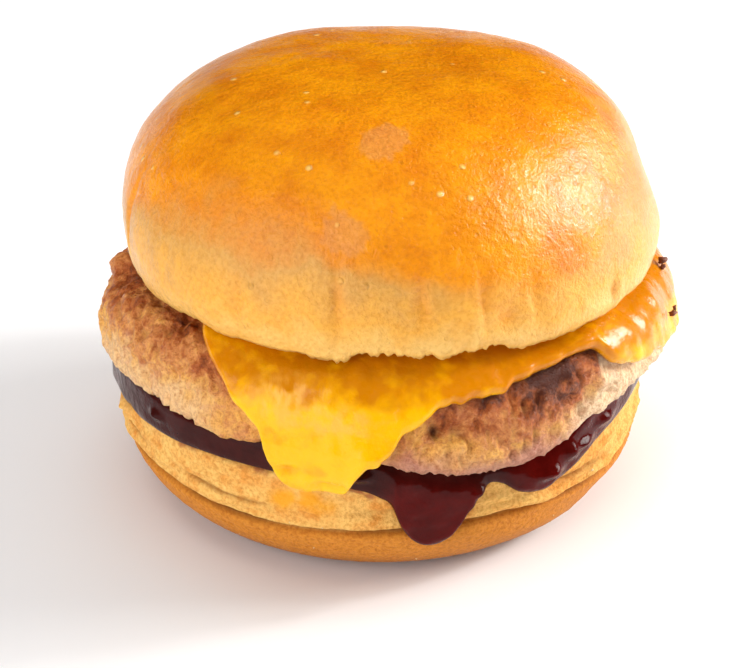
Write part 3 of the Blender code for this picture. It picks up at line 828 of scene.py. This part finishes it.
def thick_sauce(sauce):
    """Sugary red sauce, boiled stiff: red where light reaches it, and nearly black as painted
    shade in the gap under the patty and at the top of each drip, with a smooth wet skin that
    glints."""
    made, tree, shader, place = blank(
        "thick_sauce", IOR=1.38, Specular_IOR_Level=0.04,
        Coat_Weight=0.36, Coat_Roughness=0.04, Coat_IOR=1.34,
        Subsurface_Weight=0.06, Subsurface_Radius=(1.5, 0.15, 0.1), Subsurface_Scale=0.002,
    )
    thick = add(tree, "Attribute", attribute_name="thick").outputs["Fac"]
    cloud = add(tree, "TexNoise", {"Vector": place, "Scale": per(3.5), "Detail": 4, "Roughness": 0.6})
    speckle = add(tree, "ValToRGB", {"Fac": cloud}, stops=((0.35, 0.7), (0.65, 1)))
    # Painted shade: the near-black tone, with red only where the sauce is marked as lit.
    tone = sauce.deep
    for amount, over, kind in ((thick, sauce.body, LAYER), (1, speckle, TINT)):
        tone = add(tree, "Mix", {SHARE: amount, UNDER: tone, OVER: over}, **kind).outputs[MIXED]
    gloss = add(
        tree, "MapRange",
        {"Value": cloud, "From Min": 0.35, "From Max": 0.65, "To Min": 0.08, "To Max": 0.2},
    )
    bump = add(tree, "Bump", {"Height": cloud, "Distance": 0.5 * MM, "Strength": 0.6})
    dress(tree, shader, Base_Color=tone, Roughness=gloss, Normal=bump, Coat_Normal=bump)
    return made


def dry_crumb(name, tone, roughness):
    """A torn scrap, rough and matt, with a little variation from grain to grain."""
    made, tree, shader, place = blank(name, Roughness=roughness)
    grain = add(tree, "TexNoise", {"Vector": place, "Scale": per(0.5), "Detail": 2})
    shade = add(tree, "ValToRGB", {"Fac": grain}, stops=((0.3, 0.75), (0.65, 1)))
    tone = add(tree, "Mix", {SHARE: 1, UNDER: tone, OVER: shade}, **TINT).outputs[MIXED]
    bump = add(tree, "Bump", {"Height": grain, "Distance": 0.15 * MM, "Strength": 0.6})
    dress(tree, shader, Base_Color=tone, Normal=bump)
    return made


def matt_floor(stage):
    """Seamless studio floor: painted matt, with the faintest unevenness of a roller."""
    made, tree, shader, place = blank("matt_floor_paint", Roughness=0.7)
    nap = add(tree, "TexNoise", {"Vector": place, "Scale": per(60), "Detail": 3})
    shade = add(tree, "ValToRGB", {"Fac": nap}, stops=((0.3, 0.985), (0.7, 1)))
    tone = add(tree, "Mix", {SHARE: 1, UNDER: stage.floor, OVER: shade}, **TINT).outputs[MIXED]
    dress(tree, shader, Base_Color=tone)
    return made


class BURGER_OT_heel(bpy.types.Operator):
    """Makes the lower half of the bun: a cut face, a creased side and a baked underside."""

    bl_idname = "burger.heel"
    bl_label = "Bun bottom"

    def execute(self, context):
        heel = context.scene.burger_heel
        degrees = angles(0.5, 0.8)
        tall = np.linspace(heel.height, 0, 1500)
        r, z = even_profile(heel_radius(tall, heel), tall, 86)
        flat, foot = column([0, 24 * MM, 40 * MM, 48 * MM]), column([30 * MM, 12 * MM, 0])
        r = np.vstack([flat, r[:, None], foot]) + 0 * degrees
        z = np.vstack([0 * flat + heel.height, z[:, None], 0 * foot]) + 0 * degrees
        wander = relief(degrees, 0, CREASE_WAVES)
        side = np.clip(np.sin(math.pi * z / heel.height), 0, 1)
        hem = outline(degrees, SAUCE_HEM_HEIGHTS)
        clear = ease((hem - z) / (1.2 * MM))
        waves = np.minimum(relief(degrees, z, HEEL_WAVES), 0) * side
        crease = np.exp(-(((z - heel.crease - wander) / heel.crease_width) ** 2))
        points = to_space(degrees, r, z, heel.shift)
        long_folds = rough(points * (1, 1, 5.5), 11 * MM, 3)
        above = ease((z - heel.crease - wander) / (1.5 * MM))
        second = heel.crease + 4.3 * MM + 1.6 * wander + 0.8 * MM * noise(points * (1, 1, 0), 20 * MM, 5)
        broken = ease(noise(points * (1, 1, 0), 26 * MM, 8) * 2 + 0.55)
        fold = np.exp(-(((z - second) / (0.5 * MM)) ** 2)) * broken
        crumb_relief = above * (heel.fold_depth * long_folds - heel.fold_depth * fold)
        grain = 0.10 * MM * rough(points, 1.6 * MM, 11, 2) * side
        tear = mark(degrees, z, *HEEL_TEAR) * (1.5 + 0.9 * noise(points, 2 * MM, 14)) * MM
        out = np.maximum(crumb_relief * side + grain + tear, 0) * clear
        by = waves - heel.crease_depth * crease + out + np.minimum(crumb_relief * side + grain, 0)
        by[(z < 0.01 * MM) | (z > heel.height - 0.01 * MM)] = 0
        crust = ease((heel.crease + wander - z) / (1.2 * MM)) * (0.5 + 0.5 * ease(1 - z / (9 * MM)))
        patches = rough(points, 3 * MM, 21)
        soaked = ease(1.1 - (hem - z) / (1.5 * MM) + 1.3 * patches) * (z < hem + 2 * MM)
        soaked = soaked * ease((np.abs((degrees + 25 + 180) % 360 - 180) < 26) + 0.25) * 0.75
        butter = np.clip(marks(degrees, z, BUTTER_DROPS) * (0.8 + patches), 0, 0.8)
        # Painted shade: dark in the crease and in the folds above it, broken in places.
        dark = np.clip(0.8 * crease + 0.5 * fold * above, 0, 1) * (0.65 + 0.5 * broken)
        skin(
            "heel_bread", swollen(points, by), steamed_bread(heel), "bread", ["bottom_bun"],
            crust=crust, crease=np.clip(1.25 * dark, 0, 0.95), soaked=soaked, butter=butter,
        )
        return {"FINISHED"}


class BURGER_OT_sauce(bpy.types.Operator):
    """Makes the sauce: a face under the patty, a side that runs down, and a way back inside."""

    bl_idname = "burger.sauce"
    bl_label = "Sauce"

    def execute(self, context):
        scene = context.scene
        stack, heel = scene.burger_stack, scene.burger_heel
        sauce, patty = scene.burger_sauce, scene.burger_patty
        degrees = angles(0.4, 0.9)
        upright = heel.height - heel.edge
        hem = outline(degrees, SAUCE_HEM_HEIGHTS)
        ring = to_space(degrees, heel.radius, 0 * degrees)
        hem = hem + 0.35 * MM * noise(ring, 4 * MM, 31) * ease((25 * MM - hem) / (3 * MM))
        swell = np.clip((upright - hem) / sauce.swell, 0, 1)
        thickness = sauce.band + (sauce.drip - sauce.band) * swell
        flat_r = column([0, 20 * MM, 36 * MM, 44 * MM, 48 * MM]) + 0 * degrees
        top_r = np.vstack([flat_r, 0 * hem + heel.radius - heel.edge])
        edge_r = heel.radius + stack.clearance + thickness - sauce.shoulder
        edge_z = under_patty(degrees, edge_r, stack, heel, patty)
        down = 1 - (1 - column(np.linspace(0, 1, 44))) ** 1.35
        side_z = edge_z + (hem - edge_z) * down
        rounding = np.minimum(sauce.rounding, 0.45 * (edge_z - hem))
        past = np.clip(1 - (side_z - hem) / rounding, 0, 1)
        closing = np.clip(np.sqrt(1 - past**2), 0.1, 1)
        bend = (0.8 + 1.6 * swell) * MM
        shoulder = (sauce.shoulder + 1.7 * MM * swell) * np.exp(-((edge_z - side_z) / bend) ** 2)
        side_r = heel_radius(np.minimum(side_z, upright), heel) + stack.clearance
        around = to_space(degrees, side_r, side_z)
        wavy = 1 + 0.28 * noise(around, 6 * MM, 33) + 0.12 * noise(around, 2.5 * MM, 34)
        side_r = side_r + thickness * wavy * closing - shoulder
        side_r = side_r + MM * marks(degrees, side_z, SAUCE_BEADS) * closing
        back = column(np.linspace(0.12, 0.9, 7))
        back_z = hem + np.maximum(upright - hem, 0.1 * MM) * back
        back_r = heel_radius(np.minimum(back_z, upright), heel) + stack.clearance
        turn = np.radians(column([0, 20, 40, 60, 75, 90]))
        arc = heel.edge + stack.clearance
        over_r = heel.radius - heel.edge + arc * np.cos(turn) + 0 * hem
        over_z = np.maximum(upright + arc * np.sin(turn), hem + 0.1 * MM * (1 + turn))
        r = np.vstack([top_r, side_r, back_r, over_r, flat_r[::-1]])
        floor_z = np.full_like(flat_r, heel.height + stack.clearance)
        top_z = under_patty(degrees, top_r, stack, heel, patty)
        z = np.vstack([top_z, side_z, back_z, over_z, floor_z])
        # Painted shade: near black in the gap under the patty and at the top of each drip, red lower
        # down the drips and along the right-hand side.
        wet = np.maximum(swell, 0.75 * ease((degrees - 22) / 6) * ease((68 - degrees) / 8))
        red = wet * closing * (0.05 + 0.95 * ease((edge_z - side_z) / (6.5 * MM)))
        red = np.maximum(red, 0.8 * wet * closing * ease((degrees - 22) / 6))
        depth = np.vstack([0 * top_z, red, 0 * back_z, 0 * over_z, 0 * floor_z])
        skin(
            "sauce_drips", to_space(degrees, r, z, heel.shift), thick_sauce(sauce), "sauce", ["sauce"],
            thick=depth,
        )
        return {"FINISHED"}


class BURGER_OT_patty(bpy.types.Operator):
    """Makes the patty: a flat griddled top, a lumpy side and a lip over a rounded underside."""

    bl_idname = "burger.patty"
    bl_label = "Patty"

    def execute(self, context):
        scene = context.scene
        stack, patty, cheese = scene.burger_stack, scene.burger_patty, scene.burger_cheese
        degrees = angles(0.36, 0.62)
        whole = travelled(*patty_upper_curve(degrees, patty))[-1]
        inner = column([0, 20 * MM, 32 * MM, 38 * MM, 42 * MM]) + 0 * degrees
        down = column(np.linspace(0, 1, 61)[1:])
        length = np.vstack([inner, inner[-1] + (whole - inner[-1]) * down])
        r, z = draped(degrees, length, 0 * length, stack, patty, cheese)
        under = column(1 - np.concatenate([np.linspace(0, 0.24, 34)[1:], [0.4, 0.65, 1]]))
        under_r = patty_radius(degrees, patty) * under
        swell = np.clip((under - 0.76) / 0.24, 0, 1)
        r = np.vstack([r, under_r + patty_relief(degrees, whole, stack) * swell])
        z = np.vstack([z, patty_underside(degrees, under_r, patty)])
        length = np.vstack([length, whole + patty.radius * (1 - under) + 0 * degrees])
        points = leant(to_space(degrees, r, z), stack)
        reach = outline(degrees, CHEESE_REACHES)
        bare = ease((length - reach + 0.5 * MM) / (3 * MM)) * ease((length - 44 * MM) / (4 * MM))
        bare = bare * ease(1.2 - (length - whole) / (7 * MM))
        warped = points + 0.9 * MM * np.stack([noise(points, 3 * MM, s) for s in (41, 42, 43)], axis=-1)
        coarse = lumps(warped, patty.lump, 44)
        strands = 1 - 2 * np.abs(noise(warped * (1, 1, 0.65), patty.grain, 45))
        broad = noise(points, 12 * MM, 46)
        out = patty.lump_height * (coarse - 0.62) + patty.grain_height * (strands - 0.5)
        out = out + 0.5 * MM * broad
        out = out + 0.24 * MM * rough(points, 1.1 * MM, 47, 2)
        pit = mark(degrees, points[..., 2], *PATTY_PIT)
        knob = mark(degrees, points[..., 2], *PATTY_KNOB)
        nub = spot(points, *PATTY_NUB)
        scrap = mark(degrees, points[..., 2], *PATTY_SCRAP)
        steamed = 0.75 + 0.25 * ease((points[..., 2] - patty_waist(degrees, patty)) / (5 * MM))
        out = out * bare * steamed + (-1.3 * pit + 1.0 * knob + 2.8 * nub + 1.6 * scrap) * MM * bare
        out = np.where(bare < 0.02, np.minimum(out, 0), out)
        rise = (points[..., 2] - outline(degrees, PATTY_EDGE_HEIGHTS)) / (17 * MM)
        right = ease((degrees - 12) / 15) * (degrees < 60)
        sear = 0.06 + 0.62 * ease((rise - 0.3) / 0.7) + 0.26 * right * ease((rise - 0.25) / 0.4)
        sear = sear + 0.22 * (0.6 - coarse) + 0.06 * (strands - 0.5) - 0.3 * knob
        sear = sear + 0.16 * noise(points, 8 * MM, 50)
        sear = sear - 0.1 * ease((-degrees - 25) / 20) - 0.12 * ease((degrees - 52) / 8)
        rosy = ease((0.45 - rise) / 0.3 + 0.6 * noise(points, 6 * MM, 48)) * 0.85
        rosy = rosy * ease((degrees + 8) / 12) * ease((48 - degrees) / 12)
        paler = 0.62 + 0.7 * ease((degrees - 42) / 12)
        fatty = ease((paler - rise) / 0.3 + 0.7 * noise(points, 4 * MM, 49)) * 0.85
        fatty = fatty * np.maximum(
            ease((degrees - 33) / 10) * ease((90 - degrees) / 12),
            0.5 * ease((degrees + 84) / 12) * ease((-30 - degrees) / 10),
        )
        # Painted shade: seared colour in the pit and in the gaps between the strands of mince.
        gaps = 0.5 * ease((0.3 - strands) / 0.5) * bare * sear
        skin(
            "patty_meat", swollen(points, out), griddled_mince(patty), "meat", ["patty"],
            sear=sear, rosy=rosy, fatty=fatty, hollow=np.clip(0.9 * pit + gaps, 0, 1),
        )
        return {"FINISHED"}


class BURGER_OT_cheese(bpy.types.Operator):
    """Makes the slice: its upper face to the rounded hem, and back under it."""

    bl_idname = "burger.cheese"
    bl_label = "Cheese"

    def execute(self, context):
        scene = context.scene
        stack, patty, cheese = scene.burger_stack, scene.burger_patty, scene.burger_cheese
        degrees = angles(0.34, 1.1, -60, 115)
        ring = to_space(degrees, patty.radius, 0 * degrees)
        reach = outline(degrees, CHEESE_REACHES)
        ragged = 0.9 * noise(ring, 7 * MM, 51) + 0.6 * noise(ring, 2.6 * MM, 52)
        reach = reach + ragged * MM * ease((reach - 50 * MM) / (4 * MM))
        start = np.minimum(40 * MM, reach - 5 * MM)
        down = 1 - (1 - column(np.linspace(0, 1, 104))) ** 1.25
        inner = column([0, 0.45, 0.8]) * start
        outside = np.vstack([inner, start + (reach - start) * down])
        inside = outside[::-1][2::3]
        inside[-1] = 0
        to_hem = reach - outside
        lobe = ease((outside - 60 * MM) / (6 * MM))
        lip = cheese.lip * (1 + 0.9 * lobe) * np.exp(-((to_hem / cheese.lip_width) ** 2))
        closing = np.sqrt(1 - np.clip(1 - to_hem / cheese.rounding, 0, 1) ** 2)
        left = cheese.hem_share + (1 - cheese.hem_share) * closing
        around = to_space(degrees, outside + 8 * MM, 0 * outside)
        hanging = ease((outside - 46 * MM) / (5 * MM))
        soft = 0.5 * noise(around, 10 * MM, 53) + 0.34 * noise(around, 4.2 * MM, 54)
        pucker = 0.22 * mark(degrees, outside, *CHEESE_PUCKER) * noise(around, 1.3 * MM, 55)
        fold = marks(degrees, outside, CHEESE_FOLDS)
        pucker = pucker - 0.8 * fold - 0.3 * mark(degrees, outside, *CHEESE_CREASE)
        lift = stack.clearance + (cheese.thickness + lip + (soft + pucker) * MM * hanging) * left
        r, z = draped(degrees, outside, lift, stack, patty, cheese)
        z = np.minimum(z, patty.top + stack.clearance + cheese.thickness)
        at_hem = np.exp(-(((reach - inside) / cheese.lip_width) ** 2))
        room = stack.clearance + cheese.room * (1 - cheese.room_loss * at_hem)
        inner_r, inner_z = draped(degrees, inside, room, stack, patty, cheese)
        points = leant(to_space(degrees, np.vstack([r, inner_r]), np.vstack([z, inner_z])), stack)
        blotches = rough(points, 4 * MM, 56)
        length = np.vstack([outside, inside])
        # Painted shade: darker orange on the upper slice, in the shadow of the bun's rim, and in the
        # folds; random blotches and a darker orange towards the right side are added to it.
        warm = 0.95 - 0.95 * ease((length - 53 * MM) / (4.5 * MM)) + 0.45 * blotches
        warm[: len(outside)] += 0.45 * fold
        warm = warm + 0.5 * ease((degrees - 50) / 12) * ease((112 - degrees) / 10)
        # Painted reflection: pale clouded patches where the slice mirrors the bright surroundings.
        streaks = 0.75 + 1.6 * rough(points, 2.2 * MM, 58)
        cloudy = ease(marks(degrees, length, CHEESE_CLOUDS) * streaks) * 0.7
        skin(
            "cheese_slice", points, melted_cheese(cheese), "cheese", ["cheese"],
            warm=warm, cloudy=cloudy,
        )
        return {"FINISHED"}


class BURGER_OT_crown(bpy.types.Operator):
    """Makes the upper half of the bun: a dome with (r/R)^a + (h/H)^b = 1, and a torn rim."""

    bl_idname = "burger.crown"
    bl_label = "Bun top"

    def execute(self, context):
        scene = context.scene
        stack, patty, cheese, crown = (
            scene.burger_stack, scene.burger_patty, scene.burger_cheese, scene.burger_crown
        )
        degrees = angles(0.36, 0.8)
        turn = np.linspace(math.pi / 2, 0, 3000)
        r, h = even_profile(
            crown.radius * np.cos(turn).clip(0) ** (2 / crown.radius_power),
            crown.height * np.sin(turn) ** (2 / crown.height_power), 118,
        )
        r = (r - crown.tuck * np.exp(-h / crown.tuck_height))[:, None] + 0 * degrees
        h = h[:, None] + 0 * degrees
        r[0] = 0
        bumps = relief(degrees, h, CROWN_WAVES) * np.clip(r / stack.pole_fade, 0, 1)
        to_back = (1 - np.cos(np.radians(degrees))) / 2
        droop = crown.droop * (crown.droop_front + (1 - crown.droop_front) * to_back)
        ring = to_space(degrees, crown.radius, 0 * degrees)
        torn = 0.25 + 0.75 * ease((24 - np.abs((degrees - 5 + 180) % 360 - 180)) / 8)
        tooth = noise(ring, crown.tooth * 1.6, 61) + noise(ring, crown.tooth * 0.7, 62)
        tooth = tooth + 0.6 * noise(ring, crown.tooth * 0.33, 60)
        teeth = crown.tooth_height * torn * tooth.clip(-0.9, 0.7)
        rim = relief(degrees, 0, RIM_WAVES) - droop
        lower = rim * np.exp(-h / crown.droop_height) + teeth * np.exp(-h / (1.1 * MM))
        r = r + bumps
        r = r + 0.5 * MM * noise(ring, 1.6 * MM, 63) * torn * np.exp(-h / (1.2 * MM))
        inward = column([0.45, 1.0, 1.8, 3.0, 5.0]) * MM
        lip_r = r[-1] - inward
        lip_z = (rim + teeth * np.exp(-inward / (1.5 * MM))) * np.exp(-inward / (3 * MM)) + 0.15 * MM
        floor_r = column([crown.floor_share * crown.radius, 30 * MM, 12 * MM, 0]) + 0 * degrees
        all_r = np.vstack([r, lip_r, floor_r])
        all_z = np.vstack([h + lower, lip_z, 0 * floor_r])
        depth = np.vstack([h, 0 * lip_r, 0 * floor_r])
        under = np.vstack([0 * h, 1 + 0 * lip_r, 1 + 0 * floor_r])
        shift = crown.rim_shift + (crown.top_shift - crown.rim_shift) * all_z / crown.height
        floor = patty.top + 2 * stack.clearance + cheese.thickness
        points = leant(to_space(degrees, all_r, all_z + floor, shift), stack)
        near_rim = np.exp(-depth / (9 * MM)) * (1 - np.exp(-depth / (1.5 * MM)))
        wrinkles = noise(points * (1, 1, 0.3), 3.6 * MM, 64)
        out = 0.40 * noise(points, 17 * MM, 65) + 0.10 * noise(points, 5 * MM, 66)
        out = out + 0.05 * noise(points, 1.8 * MM, 67) + 0.30 * near_rim * np.minimum(wrinkles, 0.2)
        dents = marks(degrees, depth, CROWN_DENTS)
        out = out - 1.25 * dents + sum(high * spot(points, *at) for *at, high in CROWN_SWELLS)
        out = out * MM * (1 - under)
        # Turned, so that no edge of the wash runs along the noise's own lattice
        turned = points @ np.array(((0.80, -0.60, 0.00), (0.48, 0.64, -0.60), (0.36, 0.48, 0.80)))
        wobble = 3.0 * noise(turned, 9 * MM, 68) + 1.4 * noise(turned, 3 * MM, 69)
        line = outline(degrees, WASH_LINE_HEIGHTS)
        wash = np.clip(ease((depth - line + wobble * MM) / (6.0 * MM) + 0.5) + 0.7 * dents, 0, 1)
        bake = 0.95 * ease((depth / MM + 0.8 * wobble + 3) / 28) + 0.1 * noise(turned, 20 * MM, 70)
        spots = sum(spot(points, *place) for place in DULL_PATCHES)
        ragged = 0.3 * noise(turned, 5 * MM, 75) + 0.3 * noise(turned, 1.7 * MM, 76)
        dull = ease((spots + ragged - 0.42) * 7) * 0.5
        cut = np.maximum(under, np.exp(-((depth / (0.5 * MM)) ** 2)) * 0.8)
        skin(
            "crown_bread", swollen(points, out), egg_washed_crust(crown), "crust", ["top_bun"],
            bake=bake, wash=wash * (1 - under), dull=dull, cut=cut,
        )
        return {"FINISHED"}


class BURGER_OT_crumbs(bpy.types.Operator):
    """Scatters loose crumbs of bread on the heel and scraps of mince on the cheese."""

    bl_idname = "burger.crumbs"
    bl_label = "Crumbs"

    def execute(self, context):
        scene = context.scene
        heel, crumbs = scene.burger_heel, scene.burger_crumbs
        draw = np.random.default_rng(20)
        degrees = draw.uniform(-180, 180, crumbs.count)
        height = draw.uniform(4, 19, crumbs.count) * MM
        half = crumbs.smallest + (crumbs.largest - crumbs.smallest) * draw.random(crumbs.count) ** 3
        middle = to_space(degrees, heel_radius(height, heel) + 0.15 * half, height, heel.shift)
        bread = dry_crumb("dry_bread_crumb", crumbs.bread, 0.85)
        scatter("bread_crumbs", middle, half, bread, draw)
        degrees, radius, height, half = np.array(MINCE_SCRAPS).T
        middle = to_space(degrees, radius * MM, height * MM)
        meat = dry_crumb("fried_mince_scrap", crumbs.meat, 0.5)
        scatter("mince_scraps", middle, half * MM, meat, draw)
        return {"FINISHED"}


def scatter(name, middle, half, finish, draw):
    """Many small lumps as one mesh. Each is a ball of 6 rings by 8 points, whose radius is
    uneven and whose three widths differ, moved to its own middle."""
    count, rings, around = len(middle), 6, 8
    rise = np.linspace(0, math.pi, rings)[:, None]
    turn = np.linspace(0, 2 * math.pi, around, endpoint=False)
    ball = np.stack(
        [np.sin(rise) * np.sin(turn), -np.sin(rise) * np.cos(turn), np.cos(rise) + 0 * turn], axis=-1
    )
    uneven = 1 + 0.25 * draw.standard_normal((count, rings, around, 1)).clip(-1.5, 1.5)
    uneven[:, [0, -1]] = 1
    widths = draw.uniform(0.6, 1.2, (count, 1, 1, 3))
    spots = middle[:, None, None] + half[:, None, None, None] * widths * uneven * ball
    grid = np.arange(count * rings * around).reshape(count, rings, around)
    beside = np.roll(grid, -1, axis=2)
    quads = np.stack([grid[:, :-1], grid[:, 1:], beside[:, 1:], beside[:, :-1]], axis=-1)
    mesh = bpy.data.meshes.new(name)
    mesh.from_pydata(spots.reshape(-1, 3), [], quads.reshape(-1, 4).tolist())
    bm = bmesh.new()
    bm.from_mesh(mesh)
    bmesh.ops.remove_doubles(bm, verts=bm.verts, dist=1e-6)
    bm.to_mesh(mesh)
    bm.free()
    mesh.shade_smooth()
    return piece(name, mesh, finish)


class BURGER_OT_stage(bpy.types.Operator):
    """Makes the pale floor, the soft lights and the camera."""

    bl_idname = "burger.stage"
    bl_label = "Stage"

    def execute(self, context):
        scene = context.scene
        stage = scene.burger_stage
        mesh = bpy.data.meshes.new("floor")
        corners = np.array([(-3, -3, 0), (3, -3, 0), (3, 3, 0), (-3, 3, 0)], float)
        mesh.from_pydata(corners, [], [(0, 1, 2, 3)])
        mesh.materials.append(matt_floor(stage))
        floor = bpy.data.objects.new("floor", mesh)
        scene.collection.objects.link(floor)
        world = bpy.data.worlds.new("white studio")
        scene.world = world
        world.use_nodes = True
        background = world.node_tree.nodes["Background"]
        background.inputs["Color"].default_value = (*stage.sky, 1)
        background.inputs["Strength"].default_value = stage.sky_strength
        world.cycles_visibility.glossy = False
        key, fill = stage.key_power, stage.fill_power
        soft_light("window_right", RIGHT_SIDE, 0.9, (0.5, 0.32), key, "#FFFDF8")
        soft_light("fill_front", LEFT_SIDE, 1.1, (0.9, 0.9), fill * 0.4, "#F8FBFF")
        soft_light("spark", RIGHT_SIDE, 0.9, (0.10, 0.09), key * 0.36, "#FFFFFF")
        soft_light("wall", LEFT_SIDE, 1.1, (0.9, 0.9), fill * 0.6, "#F8FBFF", glossy=False)
        soft_light("ceiling", OVERHEAD, 2.2, (2.4, 2.4), fill * 1.8, "#FFFFFF", glossy=False)
        lens = bpy.data.cameras.new("camera")
        lens.lens = LENS
        lens.sensor_width = 36
        lens.clip_start = 0.01
        camera = bpy.data.objects.new("camera", lens)
        camera.location = CAMERA_PLACE
        camera.rotation_euler = (math.radians(90 - CAMERA_DIP), 0, math.radians(CAMERA_TURN))
        scene.collection.objects.link(camera)
        scene.camera = camera
        scene.view_settings.view_transform = "Standard"
        return {"FINISHED"}


def soft_light(name, towards, distance, sides, power, tone, glossy=True):
    """A light of that width and height, that far from the burger's middle and facing it. One
    that isn't glossy lights the burger without a reflection in it."""
    lamp = bpy.data.lights.new(name, "AREA")
    lamp.shape = "RECTANGLE"
    lamp.size, lamp.size_y = sides
    lamp.energy = power
    lamp.color = linear(tone)
    made = bpy.data.objects.new(name, lamp)
    made.location = Vector(BURGER_MIDDLE) + Vector(towards).normalized() * distance
    made.visible_glossy = glossy
    made.rotation_euler = Vector(towards).to_track_quat("Z", "Y").to_euler()
    bpy.context.scene.collection.objects.link(made)


class BURGER_PT_panel(bpy.types.Panel):
    """Buttons for each layer, under the Burger tab."""

    bl_idname = "BURGER_PT_panel"
    bl_label = "Cheeseburger"
    bl_space_type = "VIEW_3D"
    bl_region_type = "UI"
    bl_category = "Burger"

    def draw(self, context):
        for operator in OPERATORS:
            self.layout.operator(operator.bl_idname)


GROUPS = {
    "burger_stack": BURGER_PG_stack,
    "burger_heel": BURGER_PG_heel,
    "burger_sauce": BURGER_PG_sauce,
    "burger_patty": BURGER_PG_patty,
    "burger_cheese": BURGER_PG_cheese,
    "burger_crown": BURGER_PG_crown,
    "burger_crumbs": BURGER_PG_crumbs,
    "burger_stage": BURGER_PG_stage,
}
OPERATORS = (
    BURGER_OT_stage, BURGER_OT_heel, BURGER_OT_sauce, BURGER_OT_patty, BURGER_OT_cheese,
    BURGER_OT_crown, BURGER_OT_crumbs,
)


def register():
    for group in GROUPS.values():
        bpy.utils.register_class(group)
    for name, group in GROUPS.items():
        setattr(bpy.types.Scene, name, PointerProperty(type=group))
    for made in (*OPERATORS, BURGER_PT_panel):
        bpy.utils.register_class(made)


def unregister():
    for made in (BURGER_PT_panel, *reversed(OPERATORS)):
        bpy.utils.unregister_class(made)
    for name, group in reversed(GROUPS.items()):
        delattr(bpy.types.Scene, name)
        bpy.utils.unregister_class(group)


def main():
    register()
    for operator in OPERATORS:
        family, name = operator.bl_idname.split(".")
        if getattr(getattr(bpy.ops, family), name)() != {"FINISHED"}:
            raise RuntimeError(operator.bl_label + " could not be made")


if __name__ == "__main__":
    main()
